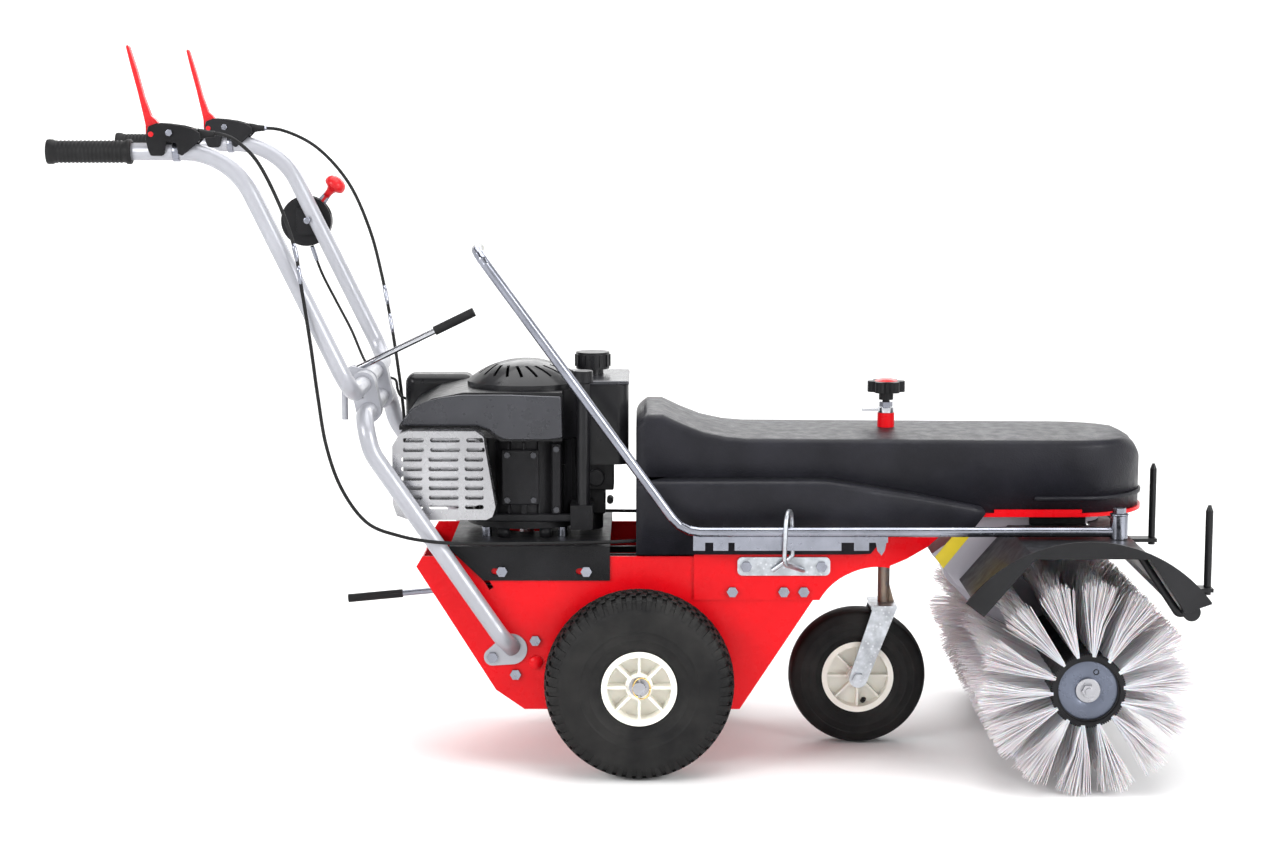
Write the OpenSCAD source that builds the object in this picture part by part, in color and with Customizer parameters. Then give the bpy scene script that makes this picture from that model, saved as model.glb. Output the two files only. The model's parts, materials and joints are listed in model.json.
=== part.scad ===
// Walk-behind sweeper with a front brush, drive wheels, a swivel caster and an engine.
// Millimetres. +X is the working direction, +Y the machine's left side, +Z is up.
// The origin is on the floor, straight below the drive axle.

/* [Drive wheels] */
// Outside diameter of a drive tyre
drive_tyre_d = 304; // [298:2:306]
// Width of a drive tyre
drive_tyre_w = 96; // [90:2:98]
// Distance between the middles of the two drive tyres
drive_track = 450; // [450:2:470]
// Diameter of a half shaft
axle_d = 20; // [18:1:22]

/* [Caster] */
// Outside diameter of the caster tyre
caster_tyre_d = 230; // [224:2:230]
// Width of the caster tyre
caster_tyre_w = 62; // [56:2:64]
// Distance of the caster's steering axis in front of the drive axle
caster_x = 410; // [406:1:414]
// Distance of the caster axle behind its steering axis
caster_trail = 44; // [40:1:48]
// Diameter of the caster stem
stem_d = 20; // [18:1:20]

/* [Brush] */
// Diameter over the bristles
brush_d = 339; // [330:1:339]
// Working width of the brush
brush_w = 700; // [660:10:700]
// Distance of the brush axis in front of the drive axle
brush_x = 695; // [693:1:697]
// Height of the brush axis
brush_z = 170; // [170:1:172]
// Outside diameter of the brush tubes
brush_tube_d = 111; // [100:1:115]
// Rows of bristles round each brush
tuft_rows = 14; // [10:1:16]

/* [Handlebars] */
// Outside diameter of the upper handlebar tube
bar_d = 27; // [26:0.5:27.5]
// Distance of each upper arm from the middle
arm_y = 256; // [250:1:262]
// Height of the hand grips
grip_z = 997; // [990:1:1005]
// Reach of the grips behind the drive axle
grip_reach = 910; // [905:1:910]
// Outside diameter of a hand grip
grip_d = 35; // [32:1:38]
// Outside diameter of the lower handlebar tube
frame_bar_d = 28; // [26:0.5:28]
// Distance of each lower arm from the middle
frame_arm_y = 195; // [192:1:198]

/* [Chassis] */
// Thickness of the folded steel sheet
sheet_t = 4; // [3:0.5:4]
// Distance of the brush head's swivel axis in front of the drive axle
swivel_x = 700; // [698:1:702]

/* [Engine and belts] */
// Position of the crankshaft along the machine
crank_x = -188; // [-190:1:-186]
// Diameter of the crankshaft
crank_d = 25; // [22:1:25]
// Position of the jackshaft along the machine
jack_x = 110; // [108:1:114]
// Outside diameter of the engine pulley
crank_pulley_d = 76; // [72:1:80]
// Outside diameter of the wheel drive pulley
drive_pulley_d = 106; // [100:1:110]
// Outside diameter of the brush drive pulley
brush_pulley_d = 116; // [110:1:118]
// Height of a belt
belt_h = 10; // [8:1:10]

/* [Covers] */
// Half width of the belt cover at the front
cover_front_y = 126; // [122:1:126]
// Half width of the belt cover beside the boom
cover_rear_y = 176; // [174:1:177]
// Wall of the belt cover
cover_t = 4; // [3:0.5:5]
// Half width of the brush hood
hood_y = 364; // [360:1:366]

/* [Steering rod] */
// Diameter of the steering rod
rod_d = 16; // [14:1:16]
// Height of the straight part of the steering rod
rod_z = 394; // [394:1:396]

/* [Hidden] */

$fn = 64;
// Distance of the outside of each side plate from the middle
plate_y = 165;
// Height of the top of the boom's plate
boom_z = 411;
// Distance of the steering rod from the middle
rod_y = -205;
big = 2000;
joint_ball = 1.03;       // ball over a bar's corner, relative to the bar
grip_bore = 120;         // open length of the handlebar tube inside each grip
run = 0.05;              // radial clearance of a shaft that turns or slides in its bore
axle_z = drive_tyre_d / 2;
wheel_y = drive_track / 2;
caster_axle_x = caster_x - caster_trail;
caster_axle_z = caster_tyre_d / 2;
bead_r = 55;             // radius where a tyre sits on its rim
pan_z = 95;              // underside of the chassis
plate_in = plate_y - sheet_t;
web_y = plate_y + sheet_t;
boom_front_y = 130;
boom_under = boom_z - 6;
deck_z = 364;            // top of the engine deck
block_z = 380;           // underside of the engine's base flange
block_top = 526;
shroud_top = 606;
red = [0.85, 0.04, 0.06];
black = [0.07, 0.07, 0.08];
tube_grey = [0.74, 0.75, 0.78];
zinc = [0.72, 0.73, 0.74];
dark_grey = [0.25, 0.25, 0.27];
white = [0.93, 0.92, 0.88];

// Corners of the chassis seen from the side, from the top rear corner round to the front
side_outline = [[-359, 330], [-349, 347], [290, 347], [290, 276], [281, 276], [163, pan_z],
    [-186, pan_z], [-232, 127]];
pan_line = [[-357, 330], [-232, 127], [-186, pan_z], [163, pan_z], [279, 272]];
deck_bolt_x = [-221, -85];
deck_bolt_z = 323;
side_bolts = [[-168, 209], [-200, 153], [150, 290], [233, 290], [265, 290]];
guide_bolts = [[172, 332], [293, 332]];
flange_centre = [-206, 195];
flange_bolt = [-237, 182];

// Handlebar corners
tilt = [-447, 0, 619];
frame_cross = [-438, 0, 576];
upper_line = [[6 - grip_reach, -arm_y, grip_z], [-629, -arm_y, grip_z],
    [tilt[0], -arm_y, tilt[2]], [tilt[0], arm_y, tilt[2]], [-629, arm_y, grip_z],
    [6 - grip_reach, arm_y, grip_z]];
lower_line = [[-196, -158, 186], [-222, -frame_arm_y, 222], [-425, -frame_arm_y, 520],
    [frame_cross[0], -frame_arm_y, frame_cross[2]], [frame_cross[0], frame_arm_y, frame_cross[2]],
    [-425, frame_arm_y, 520], [-222, frame_arm_y, 222], [-196, 158, 186]];
lever_pivot = [-747, 1024];
throttle_pivot = [-585, 862];
clamp_pivot = [-470, 634];

// Brush head
hood_line = [[529, 290], [606, 380], [782, 380], [838, 296]];
boss_x = 763;
hopper_bar = [854, 291];
hopper_pin_x = 903;
hopper_pin_y = 220;

// Routes of the cables, which the levers, housings and cover hold at both ends
right_cable = [[-668.5, -256, 1024], [-645, -257, 1024], [-618, -260, 1013], [-585, -265, 980],
    [-552, -272, 915], [-530, -277, 850], [-519, -278, 780], [-508, -276, 700], [-500, -264, 620],
    [-490, -250, 540], [-468, -242, 470], [-430, -236, 415], [-380, -228, 392], [-320, -220, 380],
    [-240, -207, 375], [-150, -191, 373], [-60, -177, 372], [-5.5, -162, 372]];
left_cable = [[-668.5, 256, 1024], [-620, 256, 1020], [-560, 250, 990], [-505, 236, 930],
    [-468, 222, 850], [-446, 206, 770], [-430, 192, 690], [-417, 178, 610], [-408, 166, 540],
    [-402, 158, 460], [-370, 150, 398], [-310, 140, 376], [-240, 130, 374], [-120, 118, 374],
    [-5.5, 110, 374]];
gas_cable = [[-577, 284, 817.8], [-560, 282, 770], [-534, 274, 720], [-506, 252, 672],
    [-484, 226, 628], [-466, 207, 603], [-442.5, 187, 597.5], [-422, 169, 594], [-417, 158, 579],
    [-411, 150, 568], [-400.8, 144, 564]];

// Pulleys, clamps and fork
belt_t = 9.5;
groove = 11;
lower_belt_z = 298;
middle_belt_z = 322;
upper_belt_z = 432;
jack_lower_d = 86;
jack_upper_d = 96;
clamp_ys = [-110, 80];
fork_in = 36;
fork_out = 41;

// ---------- helpers ----------
function unit(v) = v / norm(v);
function backwards(p) = [for (i = [len(p) - 1 : -1 : 0]) p[i]];
function pick(v, i) = is_list(v) ? v[i] : v;
function side_normal(v) = [-v[1], v[0]];

// A line of corners moved to its left by t, with mitred corners
function moved_left(p, t) = [for (i = [0 : len(p) - 1])
    let (after = unit(p[min(i + 1, len(p) - 1)] - p[min(i, len(p) - 2)]),
        before = unit(p[max(i, 1)] - p[max(i - 1, 0)]),
        n = side_normal(unit(before + after)))
    p[i] + n * t / (n * side_normal(before))];

// Cross-section of a sheet bent along a line
module bent_sheet(p, t) {
    polygon(concat(p, backwards(moved_left(p, t))));
}

// A line of corners with each corner rounded into short straight steps
function corner_steps(p, i, bend) =
    let (u = unit(p[i] - p[i - 1]), w = unit(p[i + 1] - p[i]), turn = acos(u * w),
        r = pick(bend, i), n = unit(w - u * (u * w)), cut = r * tan(turn / 2),
        c = p[i] - u * cut + n * r, steps = ceil(turn / 22.5))
    [for (k = [0 : steps]) c + r * (sin(turn * k / steps) * u - cos(turn * k / steps) * n)];
function rounded_line(p, bend) = concat([p[0]],
    [for (i = [1 : len(p) - 2]) each corner_steps(p, i, bend)], [p[len(p) - 1]]);

module bar(a, b, d) {
    v = b - a;
    translate(a) rotate([0, acos(v[2] / norm(v)), atan2(v[1], v[0])])
        cylinder(h = norm(v), d = d);
}

// Round bar along corners p, each corner rounded to its own bend radius
module bent_bar(p, bend, d) {
    q = rounded_line(p, bend);
    for (i = [0 : len(q) - 2]) bar(q[i], q[i + 1], d);
    for (i = [1 : len(q) - 2]) {
        v = unit(q[i + 1] - q[i - 1]);
        translate(q[i]) rotate([0, acos(v[2]), atan2(v[1], v[0])]) sphere(d = joint_ball * d);
    }
}

// Extrudes an outline drawn in X and Z from y0 to y1
module along_y(y0, y1) {
    translate([0, y1, 0]) rotate([90, 0, 0]) linear_extrude(y1 - y0) children();
}

module cyl_y(at, y0, y1, r) {
    translate([at[0], y0, at[1]]) rotate([-90, 0, 0]) cylinder(h = y1 - y0, r = r);
}

module cyl_z(x, y, z0, z1, r) {
    translate([x, y, z0]) cylinder(h = z1 - z0, r = r);
}

// Turns a section of radius and width round a cross-wise axle
module turned_y(x, y, z) {
    translate([x, y, z]) rotate([-90, 0, 0]) rotate_extrude() children();
}

module hexagon(across) {
    circle(d = across / cos(30), $fn = 6);
}

// Hexagon bolt along Y: head outside y_face, shank to y_end, nut against y_back
module bolt_y(at, y_face, y_back, d) {
    s = sign(y_face);
    head = s > 0 ? [y_face, y_face + 0.6 * d] : [y_face - 0.6 * d, y_face];
    nut = s > 0 ? [y_back - 0.6 * d, y_back] : [y_back, y_back + 0.6 * d];
    translate([at[0], 0, at[1]]) along_y(head[0], head[1]) hexagon(1.6 * d);
    cyl_y(at, min(y_face, y_back - s * d), max(y_face, y_back - s * d), d / 2);
    translate([at[0], 0, at[1]]) along_y(nut[0], nut[1]) difference() {
        hexagon(1.6 * d);
        circle(d = d);
    }
}

// Outline round two circles, joined by their common tangents
module link_outline(a, b, ra, rb) {
    toward = atan2(b[1] - a[1], b[0] - a[0]);
    lean = acos((ra - rb) / norm(b - a));
    up = [cos(toward + lean), sin(toward + lean)];
    down = [cos(toward - lean), sin(toward - lean)];
    translate(a) circle(ra);
    translate(b) circle(rb);
    polygon([a + ra * up, b + rb * up, b + rb * down, a + ra * down]);
}

module round_box(size, r) {
    for (x = [r, size[0] - r]) for (y = [r, size[1] - r]) translate([x, y]) circle(r);
    translate([r, 0]) square([size[0] - 2 * r, size[1]]);
    translate([0, r]) square([size[0], size[1] - 2 * r]);
}

// Tube of eight sides along a smooth curve through the points of a route
function curve_point(p, i, t) =
    let (a = p[max(i - 1, 0)], b = p[i], c = p[i + 1], d = p[min(i + 2, len(p) - 1)])
    0.5 * (2 * b + (c - a) * t + (2 * a - 5 * b + 4 * c - d) * t * t
        + (3 * b - a - 3 * c + d) * t * t * t);
function smooth_route(p, steps) = concat(
    [for (i = [0 : len(p) - 2]) for (k = [0 : steps - 1]) curve_point(p, i, k / steps)],
    [p[len(p) - 1]]);
module cable(route, d, steps) {
    p = smooth_route(route, steps);
    last = len(p) - 1;
    rings = [for (i = [0 : last])
        let (u = unit(p[min(i + 1, last)] - p[max(i - 1, 0)]), v = unit(cross(u, [0.2, 1, 0.1])),
            w = cross(u, v))
        for (k = [0 : 7]) p[i] + d / 2 * (cos(45 * k) * v + sin(45 * k) * w)];
    walls = [for (i = [0 : last - 1]) for (k = [0 : 7])
        let (a = 8 * i + k, b = 8 * i + (k + 1) % 8) [a, b, b + 8, a + 8]];
    quads_split = [for (q = walls) each [[q[0], q[2], q[1]], [q[0], q[3], q[2]]]];
    ends = [[for (k = [0 : 7]) k], [for (k = [7 : -1 : 0]) 8 * last + k]];
    polyhedron(points = rings, faces = concat(quads_split, ends), convexity = 6);
}

// ---------- chassis ----------
module side_plate() {
    difference() {
        along_y(-plate_y, -plate_in) polygon(side_outline);
        cyl_y([0, axle_z], -big, 0, 18);
        for (x = deck_bolt_x) cyl_y([x, deck_bolt_z], -big, 0, 5);
        for (b = concat(side_bolts, guide_bolts, [flange_bolt])) cyl_y(b, -big, 0, 5);
        along_y(-big, 0) translate([-247, 308]) rotate(-58) square([34, 8], center = true);
    }
    turned_y(-167, -plate_y, 173) intersection() {
        translate([0, 8]) circle(16);
        translate([0, -8]) square([11, 8]);
    }
}

module side_plate_right() {
    color(red) side_plate();
}

module side_plate_left() {
    color(red) mirror([0, 1, 0]) side_plate();
}

module chassis_pan() {
    color(red) difference() {
        along_y(-plate_in, plate_in) bent_sheet(pan_line, sheet_t);
        bar([-380, 0, 254], [-260, 0, 266], 16);
    }
}

module boom() {
    web_line = [[88, -web_y], [342, -web_y], [515, 3 - boom_front_y], [560, 3 - boom_front_y]];
    color(red) {
        for (s = [0, 1]) mirror([0, s, 0]) difference() {
            intersection() {
                translate([0, 0, 200]) linear_extrude(boom_under - 200) bent_sheet(web_line, sheet_t);
                along_y(-big, 0) difference() {
                    polygon([[88, 276], [300, 276], [300, 240], [400, 240], [405, 329], [432, 339],
                        [466, 357], [500, 385], [520, boom_under], [88, boom_under]]);
                    translate([380, 226]) circle(102.5);
                }
            }
            for (b = concat([for (i = [2 : 4]) side_bolts[i]], guide_bolts))
                cyl_y(b, -big, 0, 5);
        }
        difference() {
            union() {
                translate([0, 0, boom_under]) linear_extrude(boom_z - boom_under) {
                    polygon([[88, -web_y], [342, -web_y], [515, -boom_front_y],
                        [swivel_x, -boom_front_y], [swivel_x, boom_front_y],
                        [515, boom_front_y], [342, web_y], [88, web_y]]);
                    translate([swivel_x + 4, 0]) circle(boom_front_y);
                }
                for (y = [-boom_front_y, boom_front_y - 3]) translate([575, y, boom_z])
                    cube([142, 3, 6]);
                cyl_z(jack_x, 0, 345, boom_under, 20);
            }
            cyl_z(jack_x, 0, 0, big, 10 + run);
            cyl_z(caster_x, 0, 0, big, 14);
            cyl_z(swivel_x, 0, 0, big, 30);
        }
    }
}

module engine_deck() {
    color(black) difference() {
        union() {
            translate([-305, -web_y, deck_z - 4]) cube([258, 2 * web_y, 4]);
            for (s = [0, 1]) mirror([0, s, 0]) along_y(-web_y, -plate_y)
                polygon([[-305, deck_z - 4], [-251, 308], [-47, 308], [-47, deck_z - 4]]);
        }
        cyl_z(crank_x, 0, 300, big, 34);
        for (s = [-1, 1]) for (x = deck_bolt_x) {
            cyl_y([x, deck_bolt_z], min(s * big, 0), max(s * big, 0), 5);
            cyl_y([x - 12, deck_bolt_z], min(s * big, 0), max(s * big, 0), 5);
            along_y(min(s * big, 0), max(s * big, 0)) translate([x - 12, deck_bolt_z - 5]) square([12, 10]);
        }
        for (x = [-62, 62]) for (y = [-75, 75]) cyl_z(crank_x + x, y, 300, big, 4);
    }
}

module chassis_bolts() {
    color(zinc) for (s = [-1, 1]) {
        for (x = deck_bolt_x) bolt_y([x, deck_bolt_z], s * web_y, s * plate_in, 10);
        for (i = [0, 1]) bolt_y(side_bolts[i], s * plate_y, s * plate_in, 10);
        for (i = [2 : 4]) bolt_y(side_bolts[i], s * web_y, s * plate_in, 10);
        for (b = guide_bolts) bolt_y(b, s * (s < 0 ? web_y + 4 : web_y), s * plate_in, 10);
        bolt_y(flange_bolt, s * (plate_y + 4), s * plate_in, 10);
    }
}

// Differential gearbox on the drive axle, with an axle tube to each side plate
module gearbox() {
    color("gray") difference() {
        union() {
            cyl_y([0, axle_z], -60, 60, 52);
            for (s = [0, 1]) mirror([0, s, 0]) cyl_y([0, axle_z], -172, -60, 18);
            translate([-45, -40, axle_z]) cube([90, 80, 70]);
            cyl_z(0, 0, axle_z + 70, 262, 20);
            translate([-50, -50, pan_z + sheet_t]) cube([100, 100, 30]);
        }
        for (s = [0, 1]) mirror([0, s, 0]) cyl_y([0, axle_z], -big, -2, axle_d / 2 + run);
        cyl_z(0, 0, 225, big, 9 + run);
    }
}

// ---------- engine ----------
module engine_block() {
    color(black) difference() {
        union() {
            cyl_z(crank_x, 0, block_z, block_z + 12, 100);
            cyl_z(crank_x, 0, block_z + 12, block_top, 90);
            for (a = [0 : 45 : 315]) rotate_about_crank(a) translate([88, -4, block_z + 12])
                cube([8, 8, 90]);
            translate([-345, -45, 438]) cube([110, 90, 68]);
            for (i = [0 : 6]) translate([-338 + 11 * i, -62, 425]) cube([3, 124, 94]);
            translate([-356, -55, 430]) cube([12, 110, 84]);
            translate([-112, -108, block_z]) cube([36, 70, 40]);
            translate([-374, -8, 462]) cube([20, 16, 20]);
        }
        cyl_z(crank_x, 0, 0, big, crank_d / 2 + run);
        cyl_z(crank_x, 0, block_z + 20, block_top - 8, 80);
        cyl_z(-91, -95, block_z + 25, big, 11);
    }
}

module rotate_about_crank(a) {
    translate([crank_x, 0, 0]) rotate(a) children();
}

module engine_mounts() {
    color(zinc) for (x = [-62, 62]) for (y = [-75, 75]) {
        difference() {
            cyl_z(crank_x + x, y, deck_z, block_z, 8);
            cyl_z(crank_x + x, y, 0, big, 4);
        }
        cyl_z(crank_x + x, y, deck_z - 10, block_z, 4);
        translate([crank_x + x, y, deck_z - 10]) linear_extrude(6) difference() {
            hexagon(13);
            circle(4);
        }
    }
}

module shroud_plan(gap) {
    translate([-389 + gap, -112 + gap]) square([264 - 2 * gap, 52]);
    translate([-389 + gap, -112 + gap]) square([201, 207 - 2 * gap]);
    translate([crank_x, 0]) circle(103 - gap);
}

module shroud_side(gap) {
    polygon([[-389 + gap, 545 - 40 * sign(gap)], [-389 + gap, 552], [-372 + gap, 576 - gap],
        [-335, 596 - gap], [-285, shroud_top - gap], [-80, shroud_top - gap], [-80, 526 - 20 * sign(gap)],
        [-225, 526 - 20 * sign(gap)], [-250, 545 - 40 * sign(gap)]]);
}

module engine_shroud() {
    color(dark_grey) difference() {
        intersection() {
            linear_extrude(big) shroud_plan(0);
            along_y(-300, 300) shroud_side(0);
        }
        intersection() {
            linear_extrude(big) shroud_plan(3);
            along_y(-300, 300) shroud_side(3);
        }
        cyl_z(crank_x, 0, 500, big, 88);
    }
}

module recoil_cover() {
    color(black) translate([crank_x, 0, 0]) difference() {
        rotate_extrude() difference() {
            intersection() {
                translate([0, 500]) circle(150);
                translate([0, shroud_top]) square([97, 60]);
            }
            intersection() {
                translate([0, 500]) circle(147);
                translate([-1, shroud_top - 1]) square([95, 60]);
            }
        }
        for (i = [0 : 19]) rotate(18 * i) translate([50, 0, shroud_top + 5]) rotate(35)
            cube([34, 5, 60]);
    }
}

module muffler() {
    color("silver") {
        along_y(-144, -113) translate([-380, 424]) round_box([128, 112], 16);
        cyl_y([-300, 470], -113, -62, 14);
    }
}

module muffler_outline(gap) {
    polygon([[-396 + gap, 430], [-396 + gap, 525], [-384, 545 - gap], [-370, 549 - gap],
        [-262, 549 - gap], [-250 - gap, 540], [-231 - gap, 425], [-236 - gap, 410],
        [-246, 405 + gap], [-370, 405 + gap], [-390, 412 + gap]]);
}

module muffler_guard() {
    color("silver") difference() {
        along_y(-158, -113.5) muffler_outline(0);
        along_y(-156, -100) muffler_outline(2);
        for (row = [0 : 7]) for (col = [[-382, 34], [-338, 48], [-280, 30]])
            along_y(-170, -150) translate([col[0] + 1.5 * (row < 2 ? 2 : 0), 531 - 15.5 * row])
                round_box([col[1], 7], 3.4);
    }
}

module air_filter() {
    color(black) difference() {
        translate([0, 0, 500]) linear_extrude(112) translate([-399, 96]) round_box([118, 56], 14);
        translate([0, 0, 503]) linear_extrude(106) translate([-396, 99]) round_box([112, 50], 11);
    }
}

module fuel_tank() {
    color(black) difference() {
        union() {
            translate([0, 0, 480]) linear_extrude(137) translate([-118, -58]) round_box([100, 174], 18);
            cyl_z(-78, 45, 617, 634, 18);
        }
        translate([0, 0, 484]) linear_extrude(129) difference() {
            translate([-114, -54]) round_box([92, 166], 14);
            translate([crank_x, 0]) circle(111);
        }
        cyl_z(crank_x, 0, 0, big, 107);
        cyl_z(-78, 45, 600, big, 15);
    }
}

module oil_filler() {
    color(black) {
        difference() {
            cyl_z(-91, -95, block_z + 25, 620, 11);
            cyl_z(-91, -95, block_z + 24, 616, 8);
        }
        cyl_z(-91, -95, 620, 640, 16);
    }
}

module fuel_cap() {
    color(black) difference() {
        union() {
            cyl_z(-78, 45, 628, 656, 28);
            for (a = [0 : 30 : 330]) translate([-78, 45, 632]) rotate(a) translate([27, -3, 0])
                cube([3, 6, 20]);
        }
        cyl_z(-78, 45, 600, 634.3, 18 + run);
        cyl_z(-78, 45, 600, 632, 24);
    }
}

// ---------- belts and pulleys ----------

module pulley_section(d, z, bore_d, height) {
    difference() {
        translate([bore_d / 2, z - height / 2]) square([(d - bore_d) / 2, height]);
        polygon([[d / 2 - groove, z - 5.5], [d / 2 - groove, z + 5.5], [d / 2 + 1, z + 7],
            [d / 2 + 1, z - 7]]);
    }
}

// Corners of the outline round two circles on the middle line, x1 behind x2
function loop_points(x1, r1, x2, r2) =
    let (lean = acos((r1 - r2) / abs(x2 - x1)), steps = 24)
    concat([for (k = [0 : steps]) let (a = -lean + 2 * lean * k / steps)
            [x2 + r2 * cos(a), r2 * sin(a)]],
        [for (k = [0 : steps]) let (a = lean + (360 - 2 * lean) * k / steps)
            [x1 + r1 * cos(a), r1 * sin(a)]]);

module belt(x1, d1, x2, d2, z) {
    r1 = d1 / 2 - groove + 0.5;
    r2 = d2 / 2 - groove + 0.5;
    translate([0, 0, z - belt_h / 2]) linear_extrude(belt_h) difference() {
        polygon(loop_points(x1, r1 + belt_t, x2, r2 + belt_t));
        polygon(loop_points(x1, r1, x2, r2));
    }
}

module drive_belts() {
    color(black) {
        belt(crank_x, crank_pulley_d, 0, drive_pulley_d, lower_belt_z);
        belt(crank_x, crank_pulley_d, jack_x, jack_lower_d, middle_belt_z);
        belt(jack_x, jack_upper_d, swivel_x, brush_pulley_d, upper_belt_z);
    }
}

module crankshaft() {
    color("silver") {
        cyl_z(crank_x, 0, 284, 575, crank_d / 2);
        translate([crank_x, 0, 0]) rotate_extrude() {
            pulley_section(crank_pulley_d, lower_belt_z, crank_d, 20);
            pulley_section(crank_pulley_d, middle_belt_z, crank_d, 20);
            translate([crank_d / 2, 305]) square([8, 10]);
            translate([crank_d / 2, 540]) square([70, 20]);
            translate([crank_d / 2, block_z + 60]) square([40, 14]);
        }
    }
}

module drive_pulley() {
    color("silver") {
        cyl_z(0, 0, 225.3, 308, 9);
        rotate_extrude() pulley_section(drive_pulley_d, lower_belt_z, 18, 18);
    }
}

module jackshaft() {
    color("silver") {
        cyl_z(jack_x, 0, 311, 452, 10);
        translate([jack_x, 0, 0]) rotate_extrude() {
            pulley_section(jack_lower_d, middle_belt_z, 20, 18);
            pulley_section(jack_upper_d, upper_belt_z, 20, 18);
            translate([10, boom_z + 0.5]) square([6, 12]);
        }
    }
}

module input_pulley() {
    color("silver") {
        cyl_z(swivel_x, 0, 330.5, 446, 10);
        translate([swivel_x, 0, 0]) rotate_extrude() {
            pulley_section(brush_pulley_d, upper_belt_z, 20, 18);
            translate([10, 418]) square([8, 6]);
        }
    }
}

// ---------- belt cover ----------
module cover_shape(gap) {
    t = gap * cover_t;
    intersection() {
        linear_extrude(big) {
            translate([t - 5, t - cover_front_y]) square([swivel_x + 5 - t, 2 * (cover_front_y - t)]);
            translate([swivel_x + 4, 0]) circle(cover_front_y - t);
        }
        along_y(-300, 300) polygon([[-5, 350 - t], [4 + t, 558 - t], [16, 571 - t], [36, 571 - t],
            [103, 543 - t], [168, 532 - t], [790 - t, 529 - t], [833 - t, 444], [833 - t, boom_z - 10 * gap],
            [560, boom_z - 10 * gap], [540, 385 - t], [400, 385 - t], [372, 350 - t]]);
    }
    intersection() {
        linear_extrude(big) polygon([[t - 5, t - cover_rear_y], [342, t - cover_rear_y],
            [560, t - cover_front_y - 10], [560, cover_front_y + 10 - t],
            [342, cover_rear_y - t], [t - 5, cover_rear_y - t]]);
        along_y(-300, 300) polygon([[t - 5, 351 - 2 * t], [t - 3, 470 - t], [300, 470 - t],
            [345, 462 - t], [560, 420 - t], [560, 412], [540, 385 - 2 * t], [400, 385 - 2 * t],
            [372, 351 - 2 * t]]);
    }
}

module belt_cover() {
    color(black) difference() {
        cover_shape(0);
        cover_shape(1);
        cyl_z(caster_x, 0, 400, big, 14.5);
        translate([swivel_x - 135, -boom_front_y - 1, 400]) cube([280, 5, boom_z + 6.5 - 400]);
        translate([swivel_x - 135, boom_front_y - 4, 400]) cube([280, 5, boom_z + 6.5 - 400]);
    }
}

// ---------- lower handlebar, guide and cables ----------
module lower_handlebar() {
    bends = [0, 40, 80, 38, 38, 80, 40, 0];
    color(tube_grey) difference() {
        bent_bar(lower_line, bends, frame_bar_d);
        translate([-300, -plate_y - 4, 0]) cube([200, 2 * plate_y + 8, 300]);
    }
}

module handlebar_flanges() {
    color(tube_grey) for (s = [0, 1]) mirror([0, s, 0]) difference() {
        along_y(-plate_y - 4, -plate_y) link_outline(flange_centre, flange_bolt, 25, 14);
        cyl_y(flange_bolt, -big, 0, 5);
    }
}

module handlebar_clamps() {
    color(tube_grey) for (y = clamp_ys) {
        difference() {
            along_y(y, y + 30) difference() {
                link_outline([tilt[0], tilt[2]], [frame_cross[0], frame_cross[2]], 20, 20);
                translate([tilt[0], tilt[2]]) circle(bar_d / 2 + run);
                translate([frame_cross[0], frame_cross[2]]) circle(frame_bar_d / 2);
            }
            along_y(y - 1, y + 31) translate([-480, 596]) square([34, 3]);
        }
        translate([-478, y + 15, 560]) cylinder(h = 62, d = 10);
        along_y(y + 8, y + 22) translate([-482, 600]) square([18, 20]);
    }
    color(zinc) clamp_stand();
}

// Eye that carries the pivot of the clamp lever
module clamp_stand() {
    along_y(-62, -54) difference() {
        link_outline(clamp_pivot, [tilt[0], tilt[2]], 9, 19);
        translate([tilt[0], tilt[2]]) circle(bar_d / 2 + run);
    }
    cyl_y(clamp_pivot, -54, -40, 4);
}

module rod_guide() {
    loop = [[214, -176, 326], [246, -186, 352], [243, -186, 427], [233, -224, 427],
        [230, -224, 345], [264, -176, 326]];
    color(zinc) difference() {
        union() {
            along_y(-web_y - 4, -web_y) translate([158, 317]) round_box([149, 30], 8);
            difference() {
                bent_bar(loop, [0, 10, 18, 18, 16, 0], 7);
                translate([0, 4 - web_y - 4, 0]) cube([400, 20, 500]);
            }
        }
        for (b = guide_bolts) cyl_y(b, -big, 0, 5);
    }
}

module clutch_cable_right() {
    color(black) cable(right_cable, 6, 4);
}

module clutch_cable_left() {
    color(black) cable(left_cable, 6, 4);
}

module throttle_cable() {
    color(black) cable(gas_cable, 5, 4);
}

// ---------- upper handlebar and controls ----------
module upper_handlebar() {
    color(tube_grey) difference() {
        bent_bar(upper_line, [0, 115, 45, 45, 115, 0], bar_d);
        for (y = [-arm_y, arm_y])
            bar([-grip_reach - 1, y, grip_z], [grip_bore - grip_reach, y, grip_z], bar_d - 4);
    }
}

module hand_grips() {
    color(black) for (s = [-1, 1]) translate([-grip_reach, s * arm_y, grip_z]) rotate([0, 90, 0])
        difference() {
            union() {
                cylinder(h = 130, d = grip_d);
                cylinder(h = 12, d = grip_d + 4);
                translate([0, 0, 122]) cylinder(h = 8, d = grip_d + 4);
            }
            translate([0, 0, 6]) cylinder(h = 130, d = bar_d);
        }
}

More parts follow.
